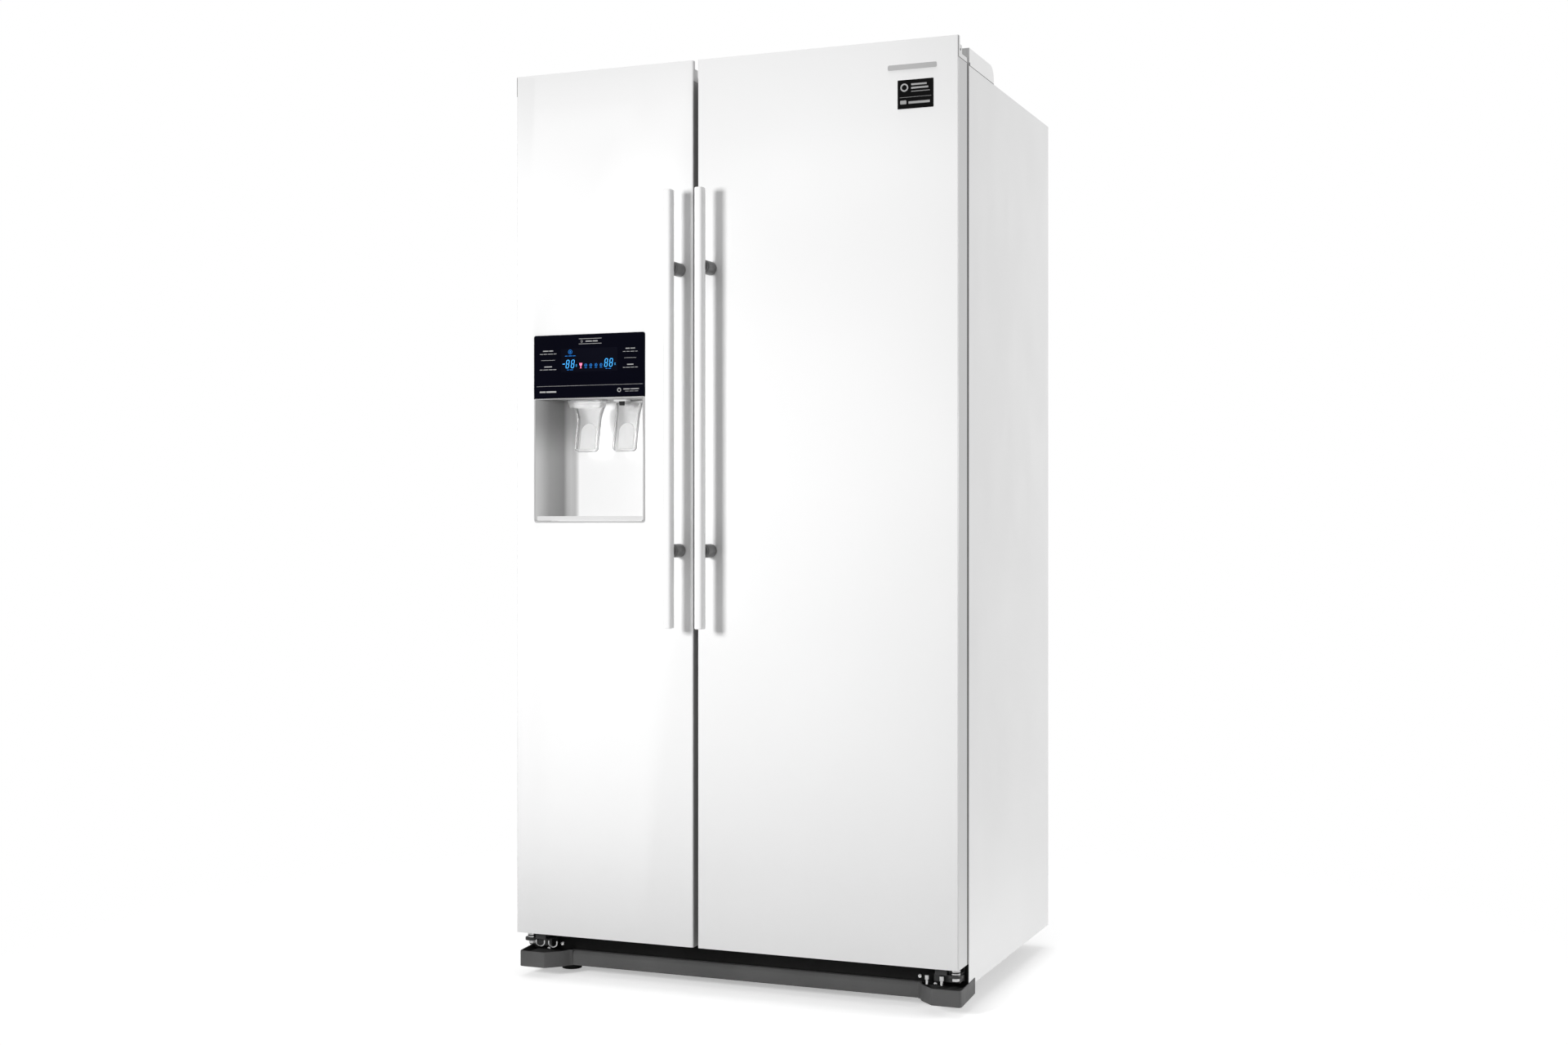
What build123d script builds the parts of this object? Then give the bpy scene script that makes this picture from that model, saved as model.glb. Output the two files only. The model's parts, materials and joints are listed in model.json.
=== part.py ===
from build123d import *
import os
from math import radians, tan

# Side by side refrigerator: an insulated case on a steel base, two hinged doors, an ice and
# water dispenser in the left one.  X runs across, +Y to the back, Z up, in millimetres.
# The origin is on the floor, under the middle of the whole object.

# ------------------------------------------------------------------ driving sizes
width = 912
height = 1789                 # top of the doors
cabinet_depth = 600           # case without doors and rear spacers
door_thickness = 55
gasket_gap = 13               # between a door's back and the case
handle_reach = 62             # how far the handles stand out from the doors
rear_spacer = 4               # ribs on the back panel
cabinet_bottom = 46           # lower edge of the side panels
cabinet_top_drop = 41         # case top below the doors' top
door_bottom = 90
door_gap = 10
door_gap_x = -67              # middle of the gap between the doors

steel = 1.0                   # sheet of the case and the doors
base_sheet = 2.0              # sheet of the base
liner_wall = 2.0
plastic = 2.5                 # wall of bins, drawers and covers
glass = 4.0
slip = 0.4                    # between a piece that moves and its neighbours
pin_fit = 0.06                # radial clearance of pins and shafts
thread_fit = 0.08             # radial clearance of the levelling feet

side_insulation = 58          # outer face of the case to the inside of a compartment
mullion = 64                  # wall between the compartments
top_insulation = 60
floor_insulation = 44
rear_insulation = 65
step_insulation = 45          # between a compartment and the machine space

# Base and machine space
base_top = 88
pan_z = 54
rail_width = 15
machine_depth = 230
machine_height = 230
foot_radius = 20
foot_height = 12
foot_rod_radius = 6
foot_setback = 52             # behind the front of the case
foot_inset = 60               # from the side of the case
boss_size = 36
boss_bottom = 58
roller_radius = 20
roller_width = 18
roller_inset = 106
roller_from_rear = 43
axle_radius = 4
ear_thickness = 4

# Trim below the doors
trim_bottom = 20
trim_top = 53
trim_wall = 3
trim_setback = 12             # face of the foot covers behind the face of the doors
foot_cover_face = 54          # flat face of a foot cover, from the side of the case
foot_cover_width = 90
kick_plate_depth = 11         # in front of the case

# Machine space
screw_hole = 2.6
screw_radius = 2.5
hinge_screw_rows = (52, 96)   # behind the front of the case
hinge_screw_columns = (16, 46)   # inboard of the hinge pin
fan_x = -40
compressor_inset = 200        # from the side of the case
compressor_radius = 76
condenser_x = (60, 250)
condenser_fins = 13
inlet_radius = 3.2
inlet_inset = 60              # from the side of the case
gland_radius = 4.2
gland_inset = 60              # from the side of the case

# Doors and hinges
cap_height = 39
cap_lip = 9                   # full-height front lip of the top cap
cap_step = 13                 # lower step behind the lip
cap_step_drop = 15
cap_low_drop = 30
bottom_cap = 14
pin_inset = 16                # hinge pin from the door's outer side
pin_back = 35                 # hinge pin behind the door's front
pin_radius = 5
bush_radius = 12
bush_length = 12
arm_gap = 3
arm_thickness = 4
arm_outer = 3                 # arm's outer edge, inboard of the pin
arm_inner = 30
arm_round = 11
hinge_plate_length = 113
hinge_plate_width = 58
hinge_cover_width = 84
hinge_cover_length = 168
hinge_cover_height = 33
hinge_cover_round = 24
gasket_width = 14
gasket_latch_edge = 10
gasket_hinge_edge = 18
gasket_edge_z = 14
dyke_clearance = 12           # from the compartment's walls
dyke_width = 34
dyke_depth = 35
bin_depth = 98
bin_height = 92
bin_pitch = 205
low_bin_pitch = 140           # under the dispenser
spout_room = 110              # from the dispenser's swelling up to the bin over it
handle_width = 17
handle_depth = 22
handle_round = 4
handle_length = 832
handle_drop = 254             # handle's top below the doors' top
handle_offset = 32.5          # from the middle of the gap
post_radius = 13
post_inset = 147              # from the handle's ends

# Dispenser in the left door
dispenser_width = 243.3
dispenser_edge = 39.3         # from the door's outer side
dispenser_drop = 516          # top of the panel below the doors' top
panel_height = 125.5
recess_height = 244
recess_depth = 83
bezel = 4
bezel_round = 5
bezel_proud = 1.5
recess_wall = 2.0
knee_room = 1                 # between the recess's wall and the door's raised rim
recess_corner = 13
bulge_back = 16               # from the recess's back to the inner face of the door
bulge_margin_low = 24
bulge_margin_high = 77
chute_width = 70
chute_mouth = 24
chute_drop = 16
chute_wall = 2.0
lever_width = 50
lever_length = 104
lever_thickness = 3
lever_from_back = 18
lever_tilt = 11               # a lever hangs forward by this angle, in degrees
lever_pin = 2
ice_lever_x = 94              # from the dispenser's left side
water_lever_x = 178
tray_height = 9

# Inside
drawer_height = 190
drawer_clearance = 33         # drawer front behind the door's raised rim
drawer_filler = 30            # rail between a drawer and the hinge-side wall
drawer_front_wall = 6
rib_height = 4
rib_width = 6
shelf_trim = 16
shelf_clearance = 16          # shelf front behind the door bins
shelf_pitch = 225
cover_from_rear = 80          # air cover in front of a compartment's rear wall
cover_sheet = 3
fan_hole = 55
fan_radius = 50
fan_drop = 520                # fan centre below the top of a compartment
bucket_height = 150
bucket_setback = 6            # bucket front behind the shelf front
auger_radius = 42
auger_rod = 5
ice_maker_height = 110

# ------------------------------------------------------------------ worked-out planes
half = width / 2
total_depth = handle_reach + door_thickness + gasket_gap + cabinet_depth + rear_spacer
handle_front = -total_depth / 2
door_front = handle_front + handle_reach
door_back = door_front + door_thickness
case_front = door_back + gasket_gap
case_rear = case_front + cabinet_depth
case_top = height - cabinet_top_drop
pin_y = door_front + pin_back
pin_x = half - pin_inset

floor_z = base_top + floor_insulation
ceiling_z = case_top - top_insulation
rear_y = case_rear - rear_insulation
machine_y = case_rear - machine_depth
machine_top = cabinet_bottom + machine_height
step_y = machine_y - step_insulation
step_z = machine_top + step_insulation
freezer_x = (-half + side_insulation, door_gap_x - mullion / 2)
fridge_x = (door_gap_x + mullion / 2, half - side_insulation)
liner_front = case_front + steel
cover_y = rear_y - cover_from_rear

freezer_door_x = (-half, door_gap_x - door_gap / 2)
fridge_door_x = (door_gap_x + door_gap / 2, half)

dispenser_x = (-half + dispenser_edge, -half + dispenser_edge + dispenser_width)
panel_top = height - dispenser_drop
recess_top = panel_top - panel_height
recess_bottom = recess_top - recess_height
recess_back = door_front + recess_depth
recess_knee = freezer_x[0] + dyke_clearance + liner_wall + recess_wall + knee_room
bulge_z = (recess_bottom - bulge_margin_low, panel_top + bulge_margin_high)
bulge_y = recess_back + bulge_back
lever_y = recess_back - lever_from_back
drawer_front = door_back + dyke_depth + drawer_clearance
shelf_front = door_back + bin_depth + shelf_clearance
bucket_front = shelf_front + bucket_setback
drawer_levels = (floor_z + rib_height, floor_z + 2 * rib_height + drawer_height + 10)
drawers_top = drawer_levels[1] + drawer_height + 8

roller_x = half - roller_inset
roller_y = case_rear - roller_from_rear
board_x = (half - 330, half - 130)
board_z = (case_top - 340, case_top - 120)
board_y = case_rear - 32
machine_mid = (machine_y + case_rear) / 2
compressor_x = -half + compressor_inset
inlet_x = half - inlet_inset
inlet_z = machine_top - 60
gland_x = -half + gland_inset
gland_z = pan_z + 60

os.makedirs("parts", exist_ok=True)


# ------------------------------------------------------------------ helpers
def block(x, y, z, mode=Mode.ADD):
    """Box spanning the pairs x, y and z, in the piece being built."""
    with Locations(((x[0] + x[1]) / 2, (y[0] + y[1]) / 2, (z[0] + z[1]) / 2)):
        Box(x[1] - x[0], y[1] - y[0], z[1] - z[0], mode=mode)


def rod(axis, centre, span, radius, mode=Mode.ADD):
    """Cylinder along the axis "X", "Y" or "Z", through centre, over the pair span."""
    turn = {"X": (0, 90, 0), "Y": (-90, 0, 0), "Z": (0, 0, 0)}[axis]
    place = dict(zip("XYZ", centre))
    place[axis] = (span[0] + span[1]) / 2
    with Locations((place["X"], place["Y"], place["Z"])):
        Cylinder(radius, span[1] - span[0], rotation=turn, mode=mode)


def inset(pair, low, high=None):
    """The pair made shorter by low at its first end and high at its second."""
    return (pair[0] + low, pair[1] - (low if high is None else high))


def mirrored(side, x):
    """The pair x, given inboard from the middle to the right, on side -1 or +1."""
    return tuple(sorted((side * x[0], side * x[1])))


def save(piece, name):
    """Label a finished piece and write it."""
    piece.part.label = name
    export_step(piece.part, f"parts/{name}.step")


def levels(low, high, pitch):
    """Evenly spaced heights from low up, at least one pitch apart and from high."""
    count = int((high - low) // pitch)
    return [low + (high - low) / count * i for i in range(count)]


def inward(wall_x, side, distance):
    """A place inboard of the hinge-side wall or pin."""
    return wall_x - side * distance


# ------------------------------------------------------------------ case
def make_case():
    """Painted sheet outside, insulation, and the flange that the doors close on."""
    inner = (-half + steel, half - steel)
    along = (case_front, case_rear)

    with BuildPart() as case_panels:
        for side in (-1, 1):
            block(mirrored(side, (half - steel, half)), along, (cabinet_bottom, case_top))
    case_panels.part = Compound(case_panels.part.solids() + [top_panel()])
    save(case_panels, "case_panels")

    with BuildPart() as back_panel:
        block(inner, (case_rear - steel, case_rear), (machine_top, case_top - steel))
        for x in (-0.8, -0.4, 0, 0.4, 0.8):
            middle = x * half
            rib = (case_rear, case_rear + rear_spacer)
            block((middle - 12, middle + 12), rib, (machine_top + 50, case_top - 50))
        block(board_x, (case_rear - steel, case_rear + rear_spacer), board_z, Mode.SUBTRACT)
    save(back_panel, "back_panel")

    with BuildPart() as front_frame:
        block(inner, (case_front, liner_front), (base_top, case_top - steel))
        for x in (freezer_x, fridge_x):
            block(x, (case_front, liner_front), (floor_z, ceiling_z), Mode.SUBTRACT)
    save(front_frame, "front_frame")

    with BuildPart() as cabinet_foam:
        foam_y = (liner_front, case_rear - steel)
        block(inner, foam_y, (base_top, case_top - steel))
        machine = (machine_y - base_sheet, case_rear)
        block(inner, machine, (base_top, machine_top), Mode.SUBTRACT)
        for x in (freezer_x, fridge_x):
            compartment(x, liner_wall, Mode.SUBTRACT)
        block(board_x, (board_y, case_rear), board_z, Mode.SUBTRACT)
    save(cabinet_foam, "cabinet_foam")


def top_panel():
    """Sheet across the top, between the side panels."""
    with BuildPart() as panel:
        block((-half + steel, half - steel), (case_front, case_rear), (case_top - steel, case_top))
    return panel.part.solid()


def compartment(x, grow, mode=Mode.ADD):
    """Inside of a compartment, grown past its closed sides; the floor steps up at the rear."""
    across = (x[0] - grow, x[1] + grow)
    block(across, (liner_front, rear_y + grow), (step_z - grow, ceiling_z + grow), mode)
    block(across, (liner_front, step_y + grow), (floor_z - grow, step_z - grow), mode)


def make_liner(name, x, hinge_side, shelf_levels):
    """Inner wall of a compartment, with ribs for shelves and drawers."""
    hinge_wall = x[0] if hinge_side < 0 else x[1]
    with BuildPart() as liner:
        compartment(x, liner_wall)
        compartment(x, 0, Mode.SUBTRACT)
        block(x, (liner_front, step_y), (floor_z, step_z - liner_wall), Mode.SUBTRACT)
        for z in shelf_levels:
            for wall, side in ((x[0], 1), (x[1], -1)):
                rib = tuple(sorted((wall, wall + side * rib_width)))
                block(rib, (shelf_front + 20, cover_y - 20), (z - rib_height, z))
        for z, back in zip(drawer_levels, (step_y, cover_y)):
            for wall, side in ((x[0], 1), (x[1], -1)):
                rib = tuple(sorted((wall, wall + side * (rib_width + 6))))
                block(rib, (drawer_front + 12, back - 12), (z - rib_height, z))
        filler = tuple(sorted((hinge_wall, inward(hinge_wall, hinge_side, drawer_filler - slip))))
        block(filler, (drawer_front + 12, step_y - 12), (floor_z + 24, drawers_top - 24))
    save(liner, name)


# ------------------------------------------------------------------ base
def make_base():
    """Steel base: a plate under the insulation, side rails, a pan behind and roller axles."""
    inner = half - steel
    with BuildPart() as base_chassis:
        block((-inner, inner), (case_front, machine_y), (base_top - base_sheet, base_top))
        block((-inner, inner), (case_front, case_front + base_sheet), (cabinet_bottom, base_top))
        for side in (-1, 1):
            rail = mirrored(side, (inner - base_sheet, inner))
            block(rail, (case_front, case_rear), (cabinet_bottom, base_top))
            block(rail, (machine_y, case_rear), (base_top, machine_top - steel))
            foot = side * (half - foot_inset)
            foot_y = case_front + foot_setback
            boss_x = (foot - boss_size / 2, foot + boss_size / 2)
            boss_y = (foot_y - boss_size / 2, foot_y + boss_size / 2)
            block(boss_x, boss_y, (boss_bottom, base_top - base_sheet))
            hole = foot_rod_radius + thread_fit
            rod("Z", (foot, foot_y, 0), (boss_bottom, base_top), hole, Mode.SUBTRACT)
        pan = (machine_y - base_sheet, case_rear)
        block((-inner, inner), pan, (pan_z - base_sheet, pan_z))
        block((-inner, inner), (pan[0], machine_y), (pan_z, base_top))
        for x in (-roller_x, roller_x):
            gap = roller_width / 2 + 1
            for side in (-1, 1):
                ear = tuple(sorted((x + side * gap, x + side * (gap + ear_thickness))))
                ear_y = (roller_y - 12, roller_y + 12)
                block(ear, ear_y, (roller_radius - 8, pan_z - base_sheet))
            span = (x - gap, x + gap)
            rod("X", (x, roller_y, roller_radius), span, axle_radius)
        bulkhead = (machine_y - base_sheet, machine_y)
        block((-inner, inner), bulkhead, (base_top, machine_top))
        block((-inner, inner), (machine_y, case_rear), (machine_top - steel, machine_top))
    save(base_chassis, "base_chassis")

    for name, side in (("left", -1), ("right", 1)):
        foot_x = side * (half - foot_inset)
        foot_y = case_front + foot_setback
        with BuildPart() as levelling_foot:
            rod("Z", (foot_x, foot_y, 0), (0, foot_height), foot_radius)
            chamfer(levelling_foot.edges().group_by(Axis.Z)[-1], 3)
            with BuildSketch(Plane.XY.offset(foot_height)):
                with Locations((foot_x, foot_y)):
                    RegularPolygon(11, 6)
            extrude(amount=8)
            rod("Z", (foot_x, foot_y, 0), (foot_height, base_top - base_sheet - 4), foot_rod_radius)
        save(levelling_foot, f"levelling_foot_{name}")

        x = side * roller_x
        with BuildPart() as rear_roller:
            rod("X", (x, roller_y, roller_radius), roller_span(x), roller_radius)
            chamfer(rear_roller.edges().filter_by(GeomType.CIRCLE), 1.5)
            bore = axle_radius + pin_fit
            rod("X", (x, roller_y, roller_radius), roller_span(x), bore, Mode.SUBTRACT)
        save(rear_roller, f"rear_roller_{name}")


def roller_span(x):
    """Width of a roller about x."""
    return (x - roller_width / 2, x + roller_width / 2)


def make_front_trim():
    """Foot covers, kick plate and lower hinges, all below the doors."""
    face_y = door_front + trim_setback
    low = trim_bottom
    top = trim_top
    wall = trim_wall
    outer = half
    corner = half - foot_cover_face
    inner = half - foot_cover_width
    plate_y = case_front - kick_plate_depth
    with BuildPart() as foot_covers:
        for side in (-1, 1):
            path = (
                (side * outer, case_front + 37),
                (side * outer, face_y),
                (side * corner, face_y),
                (side * inner, plate_y - 9),
                (side * inner, plate_y),
                (side * (inner + wall), plate_y),
                (side * (inner + wall), plate_y - 8),
                (side * (corner + 1), face_y + wall),
                (side * (outer - wall), face_y + wall),
                (side * (outer - wall), case_front + 37),
            )
            with BuildSketch(Plane.XY.offset(low)):
                with BuildLine():
                    Polyline(*path, close=True)
                make_face()
            extrude(amount=cabinet_bottom - low)
            brow = [(x, min(y, case_front - slip)) for x, y in path]
            with BuildSketch(Plane.XY.offset(cabinet_bottom)):
                with BuildLine():
                    Polyline(*brow, close=True)
                make_face()
            extrude(amount=top - cabinet_bottom)
            stay = mirrored(side, (half - 34, half - 30))
            block(stay, (face_y + wall, case_front), (low + 4, top - 1))
    save(foot_covers, "foot_covers")

    with BuildPart() as kick_plate:
        with BuildSketch(Plane.YZ):
            with BuildLine():
                Polyline(
                    (plate_y, low),
                    (plate_y, top - 8),
                    (plate_y + 6, top - 3),
                    (case_front, top - 3),
                    (case_front, top - 6),
                    (plate_y + 7, top - 6),
                    (plate_y + 3, top - 9),
                    (plate_y + 3, low),
                    close=True,
                )
            make_face()
        extrude(amount=inner, both=True)
        for step in range(-4, 5):
            slot = (step * inner / 5 - 24, step * inner / 5 + 24)
            block(slot, (plate_y - 1, plate_y + 4), (low + 8, low + 12), Mode.SUBTRACT)
    save(kick_plate, "kick_plate")

    with BuildPart() as bottom_hinges:
        plate_z = door_bottom - 15
        for side in (-1, 1):
            across = mirrored(side, (pin_x - 34, pin_x + 8))
            block(across, (case_front - 4, case_front), (top + 4, base_top))
            block(across, (pin_y, case_front - 4), (plate_z - 5, plate_z))
            rod("Z", (side * pin_x, pin_y, 0), (plate_z - 5, plate_z), 14)
            rod("Z", (side * pin_x, pin_y, 0), (plate_z, door_bottom - slip), 9)
            reach = door_bottom + bottom_cap + bush_length - 3
            rod("Z", (side * pin_x, pin_y, 0), (plate_z, reach), pin_radius)
    save(bottom_hinges, "bottom_hinges")


def make_top_hinges():
    """Upper hinge arms with their pins, and the covers over them."""
    cap_top = height - cap_low_drop
    arm_z = (cap_top + arm_gap, cap_top + arm_gap + arm_thickness)
    riser = (case_front + 1, case_front + 25)
    plate = (case_front + 1, case_front + 1 + hinge_plate_length)
    with BuildPart() as top_hinges:
        for side in (-1, 1):
            arm = mirrored(side, (pin_x - arm_inner, pin_x - arm_outer))
            block(arm, (pin_y, riser[1]), arm_z)
            rod("Z", (side * pin_x, pin_y, 0), arm_z, arm_round)
            base_x = mirrored(side, (pin_x - hinge_plate_width, pin_x - arm_outer))
            block(base_x, plate, (case_top, case_top + arm_thickness))
            block(arm, riser, (case_top + arm_thickness, arm_z[0]))
            pin_foot = height - cap_height - bush_length + 2
            rod("Z", (side * pin_x, pin_y, 0), (pin_foot, arm_z[0]), pin_radius)
            for screw_x, screw_y in hinge_screws(side):
                hole = (case_top, case_top + arm_thickness)
                rod("Z", (screw_x, screw_y, 0), hole, screw_hole, Mode.SUBTRACT)
    save(top_hinges, "top_hinges")

    with BuildPart() as hinge_covers:
        start = case_front + 2
        cover_z = (case_top, case_top + hinge_cover_height)
        for side in (-1, 1):
            outer = mirrored(side, (half - hinge_cover_width, half))
            hollow = mirrored(side, (half - hinge_cover_width + plastic, half - plastic))
            ends = (start, start + hinge_cover_length)
            with BuildSketch(Plane.YZ.offset(outer[0])):
                with BuildLine():
                    Line((ends[0], cover_z[0]), (ends[0], cover_z[1]))
                    Line((ends[0], cover_z[1]), (ends[1] - hinge_cover_round, cover_z[1]))
                    RadiusArc(
                        (ends[1] - hinge_cover_round, cover_z[1]),
                        (ends[1], cover_z[1] - hinge_cover_round),
                        hinge_cover_round,
                    )
                    Line((ends[1], cover_z[1] - hinge_cover_round), (ends[1], cover_z[0]))
                    Line((ends[1], cover_z[0]), (ends[0], cover_z[0]))
                make_face()
            extrude(amount=hinge_cover_width)
            inside = inset(ends, plastic, plastic + hinge_cover_round / 2)
            block(hollow, inside, (cover_z[0], cover_z[1] - plastic), Mode.SUBTRACT)
            slot = mirrored(side, (pin_x - hinge_plate_width - 1, pin_x - arm_outer + 1))
            mouth = (ends[0], ends[0] + plastic)
            block(slot, mouth, (case_top, arm_z[1] + 1), Mode.SUBTRACT)
    save(hinge_covers, "hinge_covers")


def hinge_screws(side):
    """Places of the screws in one hinge's base plate."""
    for along in hinge_screw_rows:
        for across in hinge_screw_columns:
            yield side * (pin_x - across), case_front + along


# ------------------------------------------------------------------ machine space
def make_machine_space():
    """Compressor, condenser, fan, water valve, cover and the electrical box."""
    wide = compressor_radius
    with BuildPart() as compressor:
        bottom = pan_z + 12
        with BuildSketch(Plane.XZ) as dome:
            with BuildLine():
                Line((0, bottom), (wide - 14, bottom))
                Line((wide - 14, bottom), (wide, bottom + 14))
                Line((wide, bottom + 14), (wide, bottom + 104))
                Spline((wide, bottom + 104), (52, bottom + 146), (0, bottom + 158))
                Line((0, bottom + 158), (0, bottom))
            make_face()
        with Locations((compressor_x, machine_mid, 0)):
            add(revolve(dome.sketch, axis=Axis.Z, mode=Mode.PRIVATE))
        plate = (bottom, bottom + 3)
        foot_plate = (compressor_x - 96, compressor_x + 96)
        block(foot_plate, (machine_mid - 62, machine_mid + 62), plate)
        for x in (-82, 82):
            for y in (-48, 48):
                spot = (compressor_x + x, machine_mid + y, 0)
                rod("Z", spot, (pan_z, bottom), 11)
        block(
            (compressor_x - 100, compressor_x - 60),
            (machine_mid - 26, machine_mid + 26),
            (bottom + 50, bottom + 100),
        )
    save(compressor, "compressor")

    with BuildPart() as condenser:
        pitch = (condenser_x[1] - condenser_x[0]) / (condenser_fins - 1)
        fins_y = (machine_mid - 70, machine_mid + 70)
        for i in range(condenser_fins):
            x = condenser_x[0] + i * pitch
            block((x - 0.6, x + 0.6), fins_y, (pan_z, pan_z + 150))
        for y in (-48, -16, 16, 48):
            for z in (30, 75, 120):
                spot = (0, machine_mid + y, pan_z + z)
                rod("X", spot, (condenser_x[0] - 8, condenser_x[1] + 8), 4)
    save(condenser, "condenser")

    with BuildPart() as machine_cover:
        across = inset((-half, half), steel)
        sheet = (case_rear - base_sheet, case_rear)
        block(across, sheet, (pan_z, machine_top))
        rails = mirrored(1, (half - steel - base_sheet, half - steel))
        for side in (-1, 1):
            block(mirrored(side, rails), (case_rear - base_sheet, case_rear),
                  (pan_z, machine_top), Mode.SUBTRACT)
        block(across, sheet, (machine_top - steel, machine_top), Mode.SUBTRACT)
        for column in range(-3, 4):
            x = column * (width - 240) / 7
            for row in range(5):
                z = pan_z + 45 + row * 24
                slot = (x - 34, x + 34)
                block(slot, sheet, (z, z + 9), Mode.SUBTRACT)
        rod("Y", (inlet_x, 0, inlet_z), sheet, 11 + slip, Mode.SUBTRACT)
        rod("Y", (gland_x, 0, gland_z), sheet, 9, Mode.SUBTRACT)
        for x, z in cover_screws():
            rod("Y", (x, 0, z), sheet, screw_hole, Mode.SUBTRACT)
    save(machine_cover, "machine_cover")

    with BuildPart() as cord_gland:
        spot = (gland_x, 0, gland_z)
        rod("Y", spot, (case_rear - base_sheet, case_rear), 9 - slip)
        rod("Y", spot, (case_rear - base_sheet - 6, case_rear - base_sheet), 12)
        rod("Y", spot, (case_rear, case_rear + 3), 12)
        rod("Y", spot, (case_rear - 12, case_rear + 4), gland_radius, Mode.SUBTRACT)
    save(cord_gland, "cord_gland")

    with BuildPart() as water_valve:
        spot = (inlet_x, 0, inlet_z)
        rod("Y", spot, (case_rear - 40, case_rear + 3), 11)
        valve_x = (inlet_x - 20, inlet_x + 20)
        block(valve_x, (case_rear - 70, case_rear - 34), (inlet_z - 20, inlet_z + 26))
        rod("Z", (inlet_x, case_rear - 52, 0), (inlet_z + 26, machine_top - steel), 14)
        rod("Y", spot, (case_rear - 17, case_rear + 3), inlet_radius, Mode.SUBTRACT)
    save(water_valve, "water_valve")

    with BuildPart() as control_board_box:
        block(board_x, (board_y, case_rear), board_z)
        hollow = (inset(board_x, plastic), (board_y + plastic, case_rear - plastic))
        block(hollow[0], hollow[1], inset(board_z, plastic), Mode.SUBTRACT)
        board = inset(board_x, 20)
        block(board, (board_y + plastic, board_y + plastic + 6), inset(board_z, 20))
    save(control_board_box, "control_board_box")

    with BuildPart() as case_screws:
        for x, z in cover_screws():
            rod("Y", (x, 0, z), (case_rear, case_rear + 2.5), 5)
            rod("Y", (x, 0, z), (case_rear - base_sheet, case_rear), screw_radius)
        for side in (-1, 1):
            for x, y in hinge_screws(side):
                top = case_top + arm_thickness
                rod("Z", (x, y, 0), (top, top + 4), 6)
                rod("Z", (x, y, 0), (case_top, top), screw_radius)
    save(case_screws, "case_screws")


def cover_screws():
    """Places of the screws in the rear cover."""
    for x in (-half + 24, 0, half - 24):
        for z in (pan_z + 14, machine_top - 14):
            yield x, z


# ------------------------------------------------------------------ fans
def fan_places():
    """Name and centre of each fan on the rear walls of the compartments."""
    for name, x in (("freezer_fan", freezer_x), ("fridge_fan", fridge_x)):
        yield name, (x[0] + x[1]) / 2, ceiling_z - fan_drop


def make_fans():
    """Fan motors on the rear walls and in the machine space, and the fans they turn."""
    hub_y = (cover_y + 6, cover_y + 24)
    motor_y = hub_y[1] + 4
    with BuildPart() as fan_motors:
        for name, x, z in fan_places():
            rod("Y", (x, 0, z), (motor_y, rear_y), 26)
            rod("Y", (x, 0, z), (hub_y[0], motor_y), 3)
        motor_x = (fan_x + 26, fan_x + 60)
        rod("X", (0, machine_mid, fan_z()), motor_x, 28)
        rod("X", (0, machine_mid, fan_z()), (fan_x - 4, motor_x[0]), 3)
        block((motor_x[0] + 4, motor_x[1] - 4), (machine_mid - 12, machine_mid + 12),
              (pan_z, fan_z()))
    save(fan_motors, "fan_motors")

    for name, x, z in fan_places():
        with BuildPart() as fan:
            blades("Y", (x, (hub_y[0] + hub_y[1]) / 2, z), fan_radius, 18)
        save(fan, name)
    with BuildPart() as fan:
        blades("X", (fan_x + 10, machine_mid, fan_z()), 72, 22)
    save(fan, "condenser_fan")


def fan_z():
    """Height of the condenser fan's axis."""
    return pan_z + 100


def blades(axis, centre, radius, depth):
    """A hub with five pitched blades and a bore for the motor's shaft."""
    plane = Plane(origin=centre, z_dir=(1, 0, 0) if axis == "X" else (0, 1, 0))
    with Locations(plane):
        Cylinder(17, depth)
        with PolarLocations(0, 5):
            with Locations(Location(((radius + 15) / 2, 0, 0), (32, 0, 0))):
                Box(radius - 15, 40, 1.6)
        Cylinder(3 + pin_fit, depth + 2, mode=Mode.SUBTRACT)


# ------------------------------------------------------------------ inside the compartments
def air_cover(x):
    """Panel in front of an evaporator, with a fan hole and return slots."""
    span = inset(x, rib_width + 1)
    middle = (x[0] + x[1]) / 2
    sheet = (cover_y, cover_y + cover_sheet)
    block(inset(x, 0), sheet, (step_z, ceiling_z))
    rod("Y", (middle, 0, ceiling_z - fan_drop), sheet, fan_hole, Mode.SUBTRACT)
    for row in range(4):
        z = step_z + 16 + row * 14
        block(inset(span, 30), sheet, (z, z + 6), Mode.SUBTRACT)
    for row in range(3):
        z = ceiling_z - 60 - row * 16
        block(inset(span, 50), sheet, (z, z + 6), Mode.SUBTRACT)


def make_cooling():
    """Evaporators behind their covers."""
    with BuildPart() as evaporators:
        for x in (freezer_x, fridge_x):
            across = inset(x, 14)
            fins = int((across[1] - across[0]) // 24)
            for i in range(fins + 1):
                fin = across[0] + i * (across[1] - across[0]) / fins
                block((fin - 0.6, fin + 0.6), (cover_y + 12, rear_y), (step_z, step_z + 300))
            for row in range(5):
                for y in (cover_y + 28, cover_y + 56):
                    spot = (0, y, step_z + 30 + row * 60)
                    rod("X", spot, (across[0] - 8, across[1] + 8), 4)
    save(evaporators, "evaporators")

    with BuildPart() as evaporator_covers:
        for x in (freezer_x, fridge_x):
            air_cover(x)
    save(evaporator_covers, "evaporator_covers")


def shelf_heights(top):
    """Heights of a compartment's shelves, from the one over the drawers."""
    return levels(drawers_top + rib_height, top, shelf_pitch)


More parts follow.
